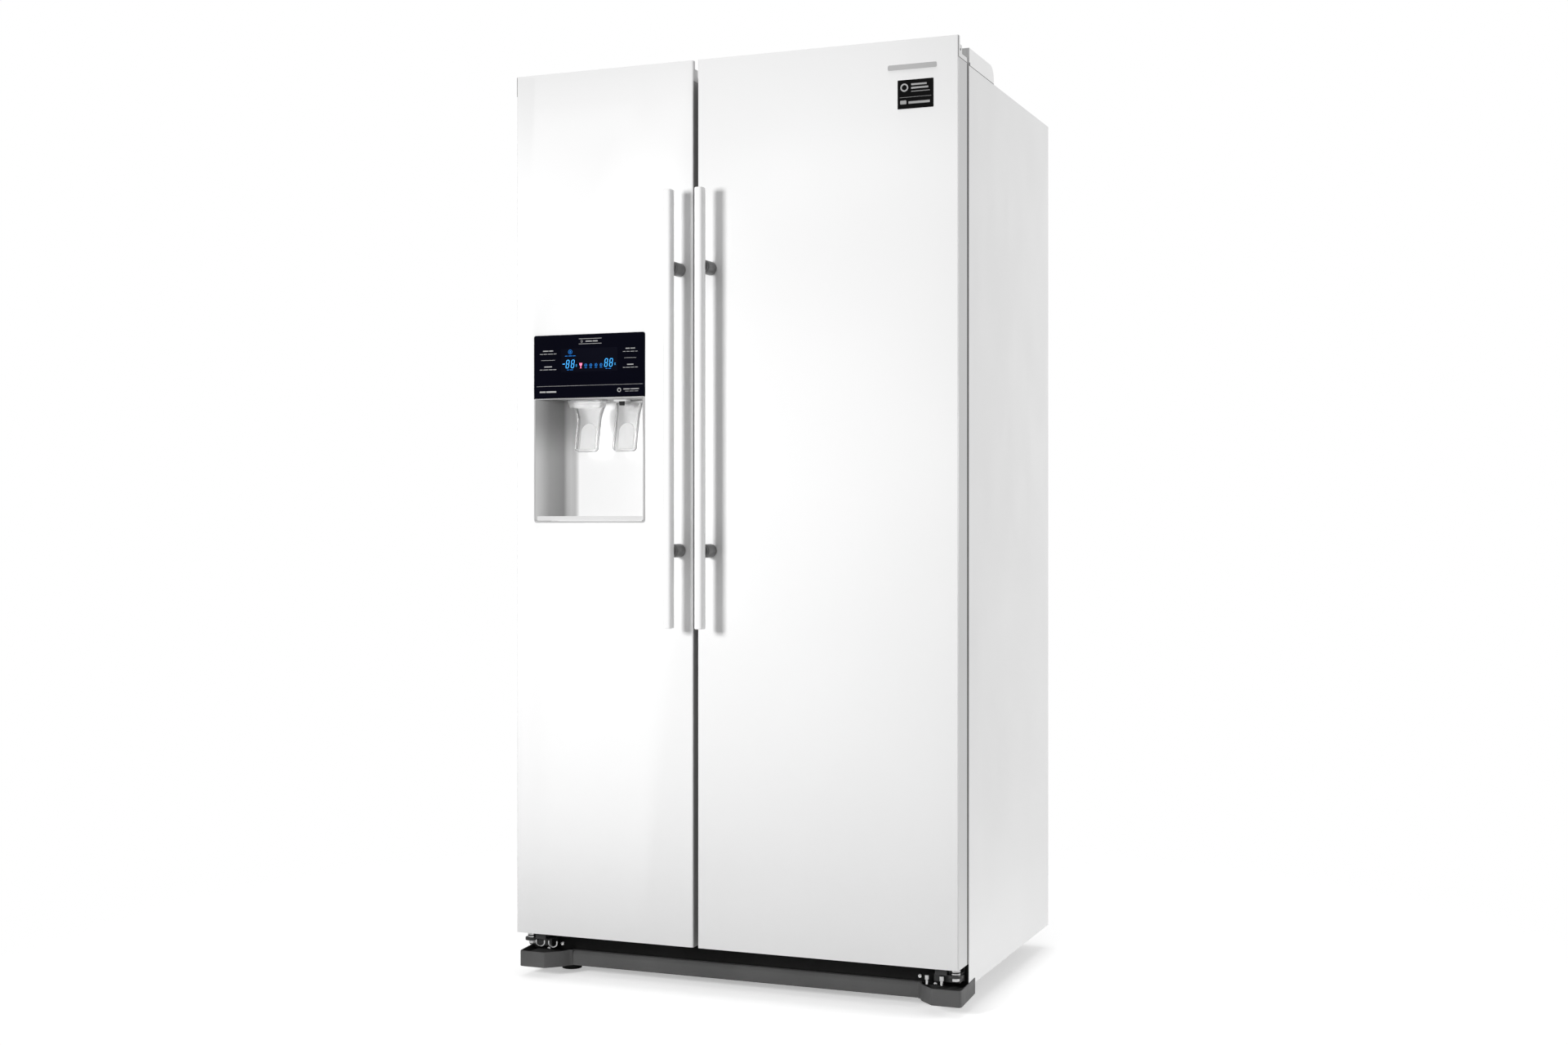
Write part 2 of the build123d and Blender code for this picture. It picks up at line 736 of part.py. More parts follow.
def make_shelves():
    """Glass panes and the plastic trims that hold their front and rear edges."""
    places = []
    for x, heights in ((freezer_x, freezer_shelves), (fridge_x, fridge_shelves)):
        for z in heights:
            places.append((inset(x, 1), z))
    back = cover_y - 6
    with BuildPart() as shelf_panes:
        for x, z in places:
            block(x, (shelf_front + 12, back - 8), (z, z + glass))
    save(shelf_panes, "shelf_panes")

    with BuildPart() as shelf_trims:
        for x, z in places:
            for end, lip in ((shelf_front, 12), (back - 8, 8)):
                block(x, (end, end + lip), (z - 4, z + shelf_trim - 4))
    save(shelf_trims, "shelf_trims")


def make_drawers():
    """Two open drawers in the foot of each compartment."""
    sides = (("freezer_drawer", freezer_x, -1), ("crisper", fridge_x, 1))
    for base, x, hinge in sides:
        low = drawer_filler if hinge < 0 else 3
        high = 3 if hinge < 0 else drawer_filler
        across = inset(x, low, high)
        for tier, z, back in zip(("lower", "upper"), drawer_levels, (step_y, cover_y)):
            depth = (drawer_front, back - 10)
            tall = (z + slip, z + drawer_height)
            with BuildPart() as drawer:
                block(across, depth, tall)
                hollow = (depth[0] + drawer_front_wall, depth[1] - plastic)
                block(inset(across, plastic), hollow, (tall[0] + plastic, tall[1]), Mode.SUBTRACT)
                vertical = drawer.edges().filter_by(Axis.Z).group_by(Axis.Y)[0]
                fillet(vertical, 4)
                grip = inset(across, (across[1] - across[0]) / 2 - 55)
                cut = (depth[0], depth[0] + drawer_front_wall)
                block(grip, cut, (tall[1] - 34, tall[1] - 12), Mode.SUBTRACT)
            save(drawer, f"{base}_{tier}")


def bucket_section(y, x, auger_z, wall):
    """Section of the ice bucket at y: straight sides over a round channel for the auger."""
    middle = dispenser_x[0] + ice_lever_x
    radius = auger_radius + 3 + plastic - wall
    top = bucket_z + bucket_height
    left, right = inset(x, wall)
    with BuildSketch(Plane.XZ.offset(-y)) as section:
        with BuildLine():
            Polyline(
                (middle - radius, auger_z),
                (left, auger_z + 14),
                (left, top),
                (right, top),
                (right, auger_z + 60),
                (middle + radius, auger_z),
            )
            RadiusArc((middle + radius, auger_z), (middle - radius, auger_z), radius)
        make_face()
    return section.sketch


def make_ice():
    """Ice maker under the freezer's ceiling, the bucket below it and the auger inside."""
    middle = dispenser_x[0] + ice_lever_x
    bucket_x = inset(freezer_x, 13)
    front = bucket_front
    depth = (front, cover_y - 8)
    bottom = bucket_z
    auger_z = bottom + auger_radius + 3 + plastic
    with BuildPart() as ice_maker:
        maker_x = inset(freezer_x, 20, 70)
        block(maker_x, (front + 40, front + 230), (ceiling_z - ice_maker_height, ceiling_z))
        tray = inset(maker_x, 14)
        hollow = (front + 54, front + 216)
        low = ceiling_z - ice_maker_height
        block(tray, hollow, (low, low + 70), Mode.SUBTRACT)
        mould = (hollow[0], hollow[1])
        rod("Y", ((maker_x[0] + maker_x[1]) / 2, 0, low + 44), mould, 30)
    save(ice_maker, "ice_maker")

    with BuildPart() as ice_bucket:
        outside = bucket_section(depth[0], bucket_x, auger_z, 0)
        extrude(outside, amount=-(depth[1] - depth[0]))
        inside = bucket_section(depth[0] + plastic, bucket_x, auger_z, plastic)
        extrude(inside, amount=-(depth[1] - depth[0] - 2 * plastic), mode=Mode.SUBTRACT)
        spout = (middle - 24, middle + 24)
        front_wall = (depth[0], depth[0] + plastic)
        block(spout, front_wall, (bottom + plastic + 3, auger_z - 10), Mode.SUBTRACT)
        hole = auger_rod + pin_fit
        rod("Y", (middle, 0, auger_z), depth, hole, Mode.SUBTRACT)
    save(ice_bucket, "ice_bucket")

    with BuildPart() as ice_auger:
        rod("Y", (middle, 0, auger_z), (depth[0] - 2, depth[1] + 4), auger_rod)
        turns = 12
        pitch = (depth[1] - depth[0] - 60) / (turns - 1)
        for i in range(turns):
            place = Plane(origin=(middle, front + 30 + i * pitch, auger_z), z_dir=(0, 1, 0))
            with Locations(place * Location((0, 0, 0), (0, 0, i * 60))):
                with Locations(Location((auger_radius / 2, 0, 0), (30, 0, 0))):
                    Box(auger_radius, 14, 4)
    save(ice_auger, "ice_auger")


# ------------------------------------------------------------------ doors
def door_pieces(name, x, side, opening_x, bins):
    """Everything that swings with a door, apart from the dispenser's pieces."""
    along = (door_front, door_back)
    cap_z = height - cap_height
    inner_x = inset(x, steel)
    foam_y = (door_front + steel, door_back - liner_wall)
    has_dispenser = side < 0

    with BuildPart() as skin:
        block(x, (door_front, door_front + steel), (door_bottom, height))
        for edge in ((x[0], x[0] + steel), (x[1] - steel, x[1])):
            block(edge, along, (door_bottom, cap_z))
        if has_dispenser:
            dispenser_form(recess_wall, Mode.SUBTRACT)
    save(skin, f"{name}_skin")

    with BuildPart() as caps:
        back = door_front + steel
        lip = door_front + steel + cap_lip
        step = lip + cap_step
        with BuildSketch(Plane.YZ.offset(x[0])):
            with BuildLine():
                Polyline(
                    (back, cap_z),
                    (back, height),
                    (lip, height),
                    (lip, height - cap_step_drop),
                    (step, height - cap_step_drop),
                    (step, height - cap_low_drop),
                    (door_back, height - cap_low_drop),
                    (door_back, cap_z),
                    close=True,
                )
            make_face()
        extrude(amount=x[1] - x[0])
        block(inner_x, (back, door_back), (door_bottom, door_bottom + bottom_cap))
        bush(side, (cap_z - bush_length, cap_z), bush_radius)
        low = door_bottom + bottom_cap
        bush(side, (low, low + bush_length), bush_radius)
        bore = pin_radius + pin_fit
        bush(side, (cap_z - bush_length, height), bore, Mode.SUBTRACT)
        bush(side, (door_bottom, low + bush_length), bore, Mode.SUBTRACT)
    save(caps, f"{name}_caps")

    dyke_x = inset(opening_x, dyke_clearance)
    dyke_z = inset((floor_z, ceiling_z), dyke_clearance)
    dyke_y = (door_back, door_back + dyke_depth)
    body_z = (door_bottom + bottom_cap, cap_z)
    with BuildPart() as liner:
        block(inner_x, (door_back - liner_wall, door_back), body_z)
        block(dyke_x, dyke_y, dyke_z)
        block(inset(dyke_x, dyke_width), dyke_y, inset(dyke_z, dyke_width), Mode.SUBTRACT)
        if has_dispenser:
            block(dyke_x, (door_back, bulge_y), bulge_z)
        dyke_core(dyke_x, dyke_z, has_dispenser, Mode.SUBTRACT)
        if has_dispenser:
            chute_form(chute_wall, Mode.SUBTRACT)
            dispenser_form(recess_wall, Mode.SUBTRACT)
    save(liner, f"{name}_liner")

    with BuildPart() as foam:
        block(inner_x, foam_y, body_z)
        dyke_core(dyke_x, dyke_z, has_dispenser, Mode.ADD)
        bush(side, (cap_z - bush_length, cap_z), bush_radius, Mode.SUBTRACT)
        low = door_bottom + bottom_cap
        bush(side, (low, low + bush_length), bush_radius, Mode.SUBTRACT)
        if has_dispenser:
            dispenser_form(recess_wall, Mode.SUBTRACT)
            chute_form(chute_wall, Mode.SUBTRACT)
    save(foam, f"{name}_foam")

    hinge_low, hinge_high = (gasket_hinge_edge, gasket_latch_edge)
    if side > 0:
        hinge_low, hinge_high = hinge_high, hinge_low
    seal_x = inset(x, hinge_low, hinge_high)
    seal_z = (door_bottom + gasket_edge_z, cap_z - gasket_edge_z)
    with BuildPart() as gasket:
        seal_y = (door_back, case_front - slip)
        block(seal_x, seal_y, seal_z)
        block(inset(seal_x, gasket_width), seal_y, inset(seal_z, gasket_width), Mode.SUBTRACT)
    save(gasket, f"{name}_gasket")

    bin_x = inset(dyke_x, dyke_width)
    with BuildPart() as door_bins:
        for z in bins:
            trough = (door_back, door_back + bin_depth)
            block(bin_x, trough, (z, z + bin_height))
            hollow = inset(trough, plastic)
            space = (z + plastic, z + bin_height)
            block(inset(bin_x, plastic), hollow, space, Mode.SUBTRACT)
    save(door_bins, f"{name}_bins")

    handle_x = door_gap_x + side * handle_offset
    top = height - handle_drop
    bottom = top - handle_length
    bar = (handle_front, handle_front + handle_depth)
    with BuildPart() as handle_bar:
        with BuildSketch(Plane.XY.offset(bottom)):
            with Locations((handle_x, (bar[0] + bar[1]) / 2)):
                RectangleRounded(handle_width, handle_depth, handle_round)
        extrude(amount=handle_length)
        chamfer(handle_bar.faces().sort_by(Axis.Z)[0].edges(), 1)
        chamfer(handle_bar.faces().sort_by(Axis.Z)[-1].edges(), 1)
    save(handle_bar, f"{name[:-5]}_handle_bar")

    with BuildPart() as handle_posts:
        for z in (bottom + post_inset, top - post_inset):
            rod("Y", (handle_x, 0, z), (bar[1], door_front), post_radius)
    save(handle_posts, f"{name[:-5]}_handle_posts")


def bush(side, span, radius, mode=Mode.ADD):
    """Cylinder about a door's hinge pin."""
    rod("Z", (side * pin_x, pin_y, 0), span, radius, mode)


def dyke_core(dyke_x, dyke_z, has_dispenser, mode):
    """Insulation that fills the raised rim, and the swelling behind the dispenser."""
    core_y = (door_back - liner_wall, door_back + dyke_depth - liner_wall)
    rim_x = inset(dyke_x, liner_wall)
    rim_z = inset(dyke_z, liner_wall)
    thin = dyke_width - 2 * liner_wall
    for x in ((rim_x[0], rim_x[0] + thin), (rim_x[1] - thin, rim_x[1])):
        block(x, core_y, rim_z, mode)
    for z in ((rim_z[0], rim_z[0] + thin), (rim_z[1] - thin, rim_z[1])):
        block(rim_x, core_y, z, mode)
    if has_dispenser:
        swelling = (door_back - liner_wall, bulge_y - liner_wall)
        block(rim_x, swelling, inset(bulge_z, liner_wall), mode)


# ------------------------------------------------------------------ dispenser
def recess_outline(z, grow):
    """Plan of the recess at height z, grown by a wall; its left side leans in to the back."""
    left, right = inset(dispenser_x, bezel)
    front = door_front - 20
    knee = (recess_knee, door_back)
    lean = (recess_knee - left) / door_thickness
    with BuildSketch(Plane.XY.offset(z)) as outline:
        with BuildLine():
            Polyline(
                (left - 20 * lean, front),
                knee,
                (knee[0] + recess_corner, recess_back),
                (right - 4, recess_back),
                (right, front),
                close=True,
            )
        make_face()
        if grow:
            offset(amount=grow, kind=Kind.INTERSECTION)
    return outline.sketch


def dispenser_form(grow, mode):
    """Space that the dispenser's housing takes in the door."""
    outline = recess_outline(recess_bottom + bezel - grow, grow)
    tall = panel_top - recess_bottom - 2 * (bezel - grow)
    extrude(outline, amount=tall, mode=mode)


def chute_form(grow, mode, low=0, high=0):
    """Ice passage from the top of the swelling down to the recess's ceiling."""
    middle = dispenser_x[0] + ice_lever_x
    mouth_y = lever_y - chute_mouth / 2 - 6 - chute_drop * tan(radians(lever_tilt))
    inlet_y = (bulge_y - liner_wall - chute_mouth / 2) - 4
    with BuildSketch(Plane.XY.offset(recess_top - chute_drop - low)) as mouth:
        with Locations((middle, mouth_y)):
            Rectangle(chute_width + 2 * grow, chute_mouth + 2 * grow)
    with BuildSketch(Plane.XY.offset(bulge_z[1] + high)) as inlet:
        with Locations((middle, inlet_y)):
            Rectangle(chute_width + 2 * grow, chute_mouth + 2 * grow)
    loft([mouth.sketch, inlet.sketch], mode=mode)


def make_dispenser():
    """Recessed housing, control panel, ice chute, two levers and the drip tray."""
    front = door_front - bezel_proud
    with BuildPart() as dispenser_housing:
        dispenser_form(recess_wall, Mode.ADD)
        block(inset(dispenser_x, -60), (door_front - 60, door_front),
              (recess_bottom - 60, panel_top + 60), Mode.SUBTRACT)
        with BuildSketch(Plane.XZ.offset(-front)) as surround:
            with Locations(((dispenser_x[0] + dispenser_x[1]) / 2, recess_bottom + recess_height / 2)):
                RectangleRounded(dispenser_width, recess_height, bezel_round)
            with Locations(((dispenser_x[0] + dispenser_x[1]) / 2, recess_top - bezel_round)):
                Rectangle(dispenser_width, 2 * bezel_round)
        extrude(surround.sketch, amount=-bezel_proud)
        hollow = recess_outline(recess_bottom + bezel, 0)
        extrude(hollow, amount=recess_height - bezel, mode=Mode.SUBTRACT)
        pocket = recess_outline(recess_top + recess_wall, 0)
        tall = panel_height - bezel - recess_wall
        extrude(pocket, amount=tall, mode=Mode.SUBTRACT)
        for x in (ice_lever_x, water_lever_x):
            for end in (-1, 1):
                near = lever_width / 2 + 1
                pair = sorted((end * near, end * (near + 3)))
                ear = (dispenser_x[0] + x + pair[0], dispenser_x[0] + x + pair[1])
                block(ear, (lever_y - 5, lever_y + 5), (recess_top - 10, recess_top + recess_wall))
            spot = (0, lever_y, recess_top - 5)
            reach = lever_width / 2 + 5
            span = (dispenser_x[0] + x - reach, dispenser_x[0] + x + reach)
            rod("X", spot, span, lever_pin + pin_fit, Mode.SUBTRACT)
        chute_form(chute_wall, Mode.SUBTRACT)
        spot = (dispenser_x[0] + water_lever_x, lever_y - 20, 0)
        rod("Z", spot, (recess_top, recess_top + recess_wall), 6, Mode.SUBTRACT)
    save(dispenser_housing, "dispenser_housing")

    with BuildPart() as control_panel:
        block(dispenser_x, (front, door_front), (recess_top, panel_top))
        inside = (recess_knee - 10, dispenser_x[1] - bezel - 4)
        block(inside, (door_front, door_front + 14), (recess_top + 6, panel_top - bezel - 4))
        corners = control_panel.edges().filter_by(Axis.Y).group_by(Axis.Z)[-1]
        fillet(corners, bezel_round - 1)
    save(control_panel, "control_panel")

    with BuildPart() as dispenser_outlets:
        chute_form(chute_wall, Mode.ADD)
        chute_form(0, Mode.SUBTRACT)
        ceiling = recess_top + recess_wall
        rod("Z", spot, (recess_top - 12, ceiling), 6 - slip)
        rod("Z", spot, (ceiling, ceiling + 14), 9)
        rod("Z", spot, (recess_top - 12, ceiling + 14), 3, Mode.SUBTRACT)
    save(dispenser_outlets, "dispenser_outlets")

    hang = Axis((0, lever_y, recess_top - 5), (1, 0, 0))
    for name, offset_x in (("ice_lever", ice_lever_x), ("water_lever", water_lever_x)):
        middle = dispenser_x[0] + offset_x
        half_width = lever_width / 2
        across = (middle - half_width, middle + half_width)
        low = recess_top - 2 - lever_length
        sheet = (lever_y - lever_thickness / 2, lever_y + lever_thickness / 2)
        with BuildPart() as paddle:
            block(across, sheet, (low, recess_top - 2))
            fillet(paddle.edges().filter_by(Axis.Y).group_by(Axis.Z)[0], 10)
            for edge in (across[0], across[1] - 2):
                block((edge, edge + 2), (sheet[0] - 7, sheet[0]), (low + 12, recess_top - 26))
        with BuildPart() as lever:
            add(paddle.part.rotate(hang, -lever_tilt))
            pins = (middle - half_width - 3.6, middle + half_width + 3.6)
            rod("X", (0, lever_y, recess_top - 5), pins, lever_pin)
        save(lever, name)

    with BuildPart() as drip_tray:
        floor = recess_outline(recess_bottom + bezel, -1)
        extrude(floor, amount=tray_height)
        block(inset(dispenser_x, -60), (door_front - 60, door_front + 1),
              (recess_bottom, recess_top), Mode.SUBTRACT)
        slots = 12
        pitch = (dispenser_width - 90) / (slots - 1)
        for i in range(slots):
            x = dispenser_x[0] + 52 + i * pitch
            block((x - 3, x + 3), (door_front + 16, recess_back - 12),
                  (recess_bottom + bezel + 3, recess_bottom + bezel + tray_height), Mode.SUBTRACT)
    save(drip_tray, "drip_tray")


# ------------------------------------------------------------------ build
bucket_z = bulge_z[1] + 6
freezer_shelves = shelf_heights(bucket_z - rib_height)[:-1] + [bucket_z - glass - shelf_trim + 8]
fridge_shelves = shelf_heights(ceiling_z)

make_case()
make_liner("freezer_liner", freezer_x, -1, freezer_shelves)
make_liner("fridge_liner", fridge_x, 1, fridge_shelves)
make_base()
make_front_trim()
make_top_hinges()
make_machine_space()
make_fans()
make_cooling()
make_shelves()
make_drawers()
make_ice()
low_bins = levels(drawers_top + 20, bulge_z[0] - 20, low_bin_pitch)
high_bins = [bulge_z[1] + spout_room]
door_pieces("freezer_door", freezer_door_x, -1, freezer_x, low_bins + high_bins)
fridge_bins = levels(drawers_top + 20, ceiling_z - 60, bin_pitch)
door_pieces("fridge_door", fridge_door_x, 1, fridge_x, fridge_bins)
make_dispenser()
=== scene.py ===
import json
import math

import bmesh
import bpy
from mathutils import Matrix, Vector


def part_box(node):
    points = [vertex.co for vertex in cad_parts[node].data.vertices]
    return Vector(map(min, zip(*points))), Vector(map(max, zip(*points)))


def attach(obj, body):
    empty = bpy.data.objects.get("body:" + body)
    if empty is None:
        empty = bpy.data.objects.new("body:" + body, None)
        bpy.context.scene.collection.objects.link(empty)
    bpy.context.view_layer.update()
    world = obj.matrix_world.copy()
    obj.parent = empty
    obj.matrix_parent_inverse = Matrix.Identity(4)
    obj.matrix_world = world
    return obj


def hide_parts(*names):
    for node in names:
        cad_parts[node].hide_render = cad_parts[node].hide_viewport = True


# Side by side refrigerator: enamelled doors with long bar handles, an ice and water dispenser,
# shelves, drawers and bins inside, and the machine space at the back.
# Metres, with +X across to the right, +Y to the back and +Z up.

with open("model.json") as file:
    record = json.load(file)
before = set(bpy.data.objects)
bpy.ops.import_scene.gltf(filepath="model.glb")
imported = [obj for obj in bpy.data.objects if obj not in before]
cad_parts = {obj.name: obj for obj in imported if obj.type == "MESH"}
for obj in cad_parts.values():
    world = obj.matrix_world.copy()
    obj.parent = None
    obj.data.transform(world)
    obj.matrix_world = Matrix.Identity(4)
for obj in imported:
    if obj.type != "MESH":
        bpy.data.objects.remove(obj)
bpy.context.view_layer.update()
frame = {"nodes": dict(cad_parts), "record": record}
nodes = frame["nodes"]
mm = 0.001


# ------------------------------------------------------------------ outlines and forms
def rounded(across, along, radius, steps=6):
    """Rectangle with rounded corners; radius is one value or four, from the low corner round."""
    radii = radius if isinstance(radius, tuple) else (radius,) * 4
    (left, right), (low, high) = across, along
    corners = ((left, low, 180), (right, low, 270), (right, high, 0), (left, high, 90))
    outline = []
    for (u, v, start), r in zip(corners, radii):
        r = max(r, 0.01 * mm)
        middle_u = u + r if u == left else u - r
        middle_v = v + r if v == low else v - r
        for step in range(steps + 1):
            angle = math.radians(start + 90 * step / steps)
            outline.append((middle_u + r * math.cos(angle), middle_v + r * math.sin(angle)))
    return outline


def circle(centre, radius, steps=32):
    """Points round a circle."""
    turns = [2 * math.pi * i / steps for i in range(steps)]
    return [(centre[0] + radius * math.cos(a), centre[1] + radius * math.sin(a)) for a in turns]


def place(axis, height, outline):
    """A flat outline set across X, Y or Z at a height."""
    if axis == "X":
        return [(height, u, v) for u, v in outline]
    if axis == "Y":
        return [(u, height, v) for u, v in outline]
    return [(u, v, height) for u, v in outline]


def pair(middle, width):
    """Low and high ends of a width about its middle."""
    return (middle - width / 2, middle + width / 2)


def grown(ends, amount):
    """A pair of ends moved apart."""
    return (ends[0] - amount, ends[1] + amount)


class Shape:
    """Collects skins, prisms, turned forms and tubes, and makes one piece of them."""

    def __init__(self):
        self.points = []
        self.faces = []

    def skin(self, rings, closed=True, ends=True, loop=False):
        """Surface over rings of points that all have the same count."""
        base = len(self.points)
        count = len(rings[0])
        rows = len(rings)
        for ring in rings:
            self.points.extend(ring)
        for row in range(rows if loop else rows - 1):
            here = base + row * count
            there = base + (row + 1) % rows * count
            for i in range(count if closed else count - 1):
                j = (i + 1) % count
                self.faces.append((here + i, here + j, there + j, there + i))
        if ends and not loop:
            self.faces.append(tuple(base + i for i in reversed(range(count))))
            self.faces.append(tuple(base + (rows - 1) * count + i for i in range(count)))
        return self

    def prism(self, axis, outline, span):
        """Solid between two heights of one outline."""
        return self.skin([place(axis, h, outline) for h in span])

    def block(self, x, y, z):
        """Solid with square edges, which the piece's bevel rounds."""
        return self.prism("Z", [(x[0], y[0]), (x[1], y[0]), (x[1], y[1]), (x[0], y[1])], z)

    def turned(self, axis, centre, profile, steps=32):
        """Turned form about an axis through centre; profile has (radius, height) points."""
        rings = []
        for radius, height in profile:
            rings.append(place(axis, height, circle(centre, max(radius, 0.01 * mm), steps)))
        return self.skin(rings)

    def tube(self, path, radius, steps=10):
        """Round bar along a list of points."""
        path = [Vector(p) for p in path]
        rings = []
        side = None
        for i, point in enumerate(path):
            along = (path[min(i + 1, len(path) - 1)] - path[max(i - 1, 0)]).normalized()
            if side is None:
                side = along.orthogonal().normalized()
            side = (side - along * side.dot(along)).normalized()
            other = along.cross(side)
            ring = [point + radius * (side * u + other * v) for u, v in circle((0, 0), 1, steps)]
            rings.append([tuple(spot) for spot in ring])
        return self.skin(rings)

    def band(self, axis, spine, section, steps=6):
        """Frame that follows a rounded rectangle; section has (outward, height) points."""
        across, along, radius = spine
        rings = []
        for out, height in section:
            outline = rounded(grown(across, out), grown(along, out), max(radius + out, 0.2 * mm), steps)
            rings.append(place(axis, height, outline))
        return self.skin(rings, ends=False, loop=True)

    def piece(self, name, body, material, slot=None, replaces=(), edge=0.0, sheet=0.0):
        """Makes the mesh, rounds its edges, and lets it ride on a body."""
        mesh = bpy.data.meshes.new(name)
        mesh.from_pydata(self.points, [], self.faces)
        work = bmesh.new()
        work.from_mesh(mesh)
        bmesh.ops.remove_doubles(work, verts=work.verts, dist=0.002 * mm)
        bmesh.ops.dissolve_degenerate(work, edges=work.edges, dist=0.002 * mm)
        bmesh.ops.recalc_face_normals(work, faces=work.faces)
        work.to_mesh(mesh)
        work.free()
        thing = bpy.data.objects.new(name, mesh)
        bpy.context.scene.collection.objects.link(thing)
        mesh.materials.append(material)
        mesh.shade_smooth()
        if sheet:
            solid = thing.modifiers.new("sheet", "SOLIDIFY")
            solid.thickness = abs(sheet)
            solid.offset = -1 if sheet > 0 else 1
        if edge:
            round_edges(thing, edge)
        else:
            mesh.set_sharp_from_angle(angle=math.radians(32))
        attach(thing, body)
        if replaces:
            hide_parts(*replaces)
        return thing


def round_edges(thing, width, segments=2):
    """Small rounds on every corner, with flat faces left flat."""
    bevel = thing.modifiers.new("rounded_edges", "BEVEL")
    bevel.width = width
    bevel.segments = segments
    bevel.limit_method = "ANGLE"
    bevel.angle_limit = math.radians(32)
    normals = thing.modifiers.new("flat_faces", "WEIGHTED_NORMAL")
    normals.keep_sharp = True


# ------------------------------------------------------------------ shared effects
def new_group(name, inputs, outputs):
    """Node group with named number inputs and outputs."""
    group = bpy.data.node_groups.new(name, "ShaderNodeTree")
    for label, value in inputs.items():
        socket = group.interface.new_socket(name=label, in_out="INPUT", socket_type="NodeSocketFloat")
        socket.default_value = value
    for label in outputs:
        group.interface.new_socket(name=label, in_out="OUTPUT", socket_type="NodeSocketFloat")
    return group, group.nodes.new("NodeGroupInput"), group.nodes.new("NodeGroupOutput")


def noise(group, start, scale, detail=2.0, roughness=0.5, stretch=(1, 1, 1)):
    """Noise in the piece's own space, at a scale times the group's Scale."""
    tree, links = group.nodes, group.links
    spot = tree.new("ShaderNodeTexCoord")
    mapping = tree.new("ShaderNodeMapping")
    mapping.inputs["Scale"].default_value = stretch
    links.new(spot.outputs["Object"], mapping.inputs["Vector"])
    size = tree.new("ShaderNodeMath")
    size.operation = "MULTIPLY"
    size.inputs[1].default_value = scale
    links.new(start.outputs["Scale"], size.inputs[0])
    texture = tree.new("ShaderNodeTexNoise")
    texture.inputs["Detail"].default_value = detail
    texture.inputs["Roughness"].default_value = roughness
    links.new(mapping.outputs["Vector"], texture.inputs["Vector"])
    links.new(size.outputs[0], texture.inputs["Scale"])
    return texture.outputs["Fac"]


def curve_to(group, value, low, high):
    """Stretches the middle of a noise to the whole range from 0 to 1."""
    ramp = group.nodes.new("ShaderNodeMapRange")
    ramp.inputs["From Min"].default_value = low
    ramp.inputs["From Max"].default_value = high
    group.links.new(value, ramp.inputs["Value"])
    return ramp.outputs["Result"]


def enamel_ripple():
    """Baked enamel: a faint orange peel, broad waves of the sheet and light smears."""
    group, start, end = new_group("enamel_ripple", {"Scale": 1.0}, ("Height", "Tone", "Smear"))
    group.links.new(noise(group, start, 420, 1.0), end.inputs["Height"])
    group.links.new(curve_to(group, noise(group, start, 2.2, 1.0), 0.35, 0.65), end.inputs["Tone"])
    smear = curve_to(group, noise(group, start, 9, 4.0, 0.6, (1, 1, 0.35)), 0.4, 0.75)
    group.links.new(smear, end.inputs["Smear"])
    return group


def moulded_grain():
    """Moulded plastic: fine spark-eroded grain with slow flow marks."""
    group, start, end = new_group("moulded_grain", {"Scale": 1.0}, ("Height", "Tone", "Smear"))
    group.links.new(noise(group, start, 1500, 3.0, 0.7), end.inputs["Height"])
    group.links.new(curve_to(group, noise(group, start, 6, 2.0), 0.35, 0.65), end.inputs["Tone"])
    group.links.new(curve_to(group, noise(group, start, 40, 4.0, 0.6), 0.4, 0.7), end.inputs["Smear"])
    return group


def zinc_spangle():
    """Zinc-coated steel: crystals of different brightness and rolling marks."""
    group, start, end = new_group("zinc_spangle", {"Scale": 1.0}, ("Height", "Tone", "Smear"))
    spot = group.nodes.new("ShaderNodeTexCoord")
    size = group.nodes.new("ShaderNodeMath")
    size.operation = "MULTIPLY"
    size.inputs[1].default_value = 95
    group.links.new(start.outputs["Scale"], size.inputs[0])
    cells = group.nodes.new("ShaderNodeTexVoronoi")
    group.links.new(spot.outputs["Object"], cells.inputs["Vector"])
    group.links.new(size.outputs[0], cells.inputs["Scale"])
    grey = group.nodes.new("ShaderNodeSeparateColor")
    group.links.new(cells.outputs["Color"], grey.inputs["Color"])
    group.links.new(grey.outputs["Red"], end.inputs["Tone"])
    group.links.new(noise(group, start, 300, 2.0, 0.5, (1, 1, 0.1)), end.inputs["Height"])
    group.links.new(curve_to(group, noise(group, start, 14, 4.0, 0.6), 0.35, 0.7), end.inputs["Smear"])
    return group


def foam_cells():
    """Foamed insulation: small closed cells under a skin."""
    group, start, end = new_group("foam_cells", {"Scale": 1.0}, ("Height", "Tone", "Smear"))
    group.links.new(noise(group, start, 600, 5.0, 0.7), end.inputs["Height"])
    group.links.new(curve_to(group, noise(group, start, 30, 4.0), 0.3, 0.7), end.inputs["Tone"])
    group.links.new(noise(group, start, 60, 2.0), end.inputs["Smear"])
    return group


ripple = enamel_ripple()
grain = moulded_grain()
spangle = zinc_spangle()
cells = foam_cells()


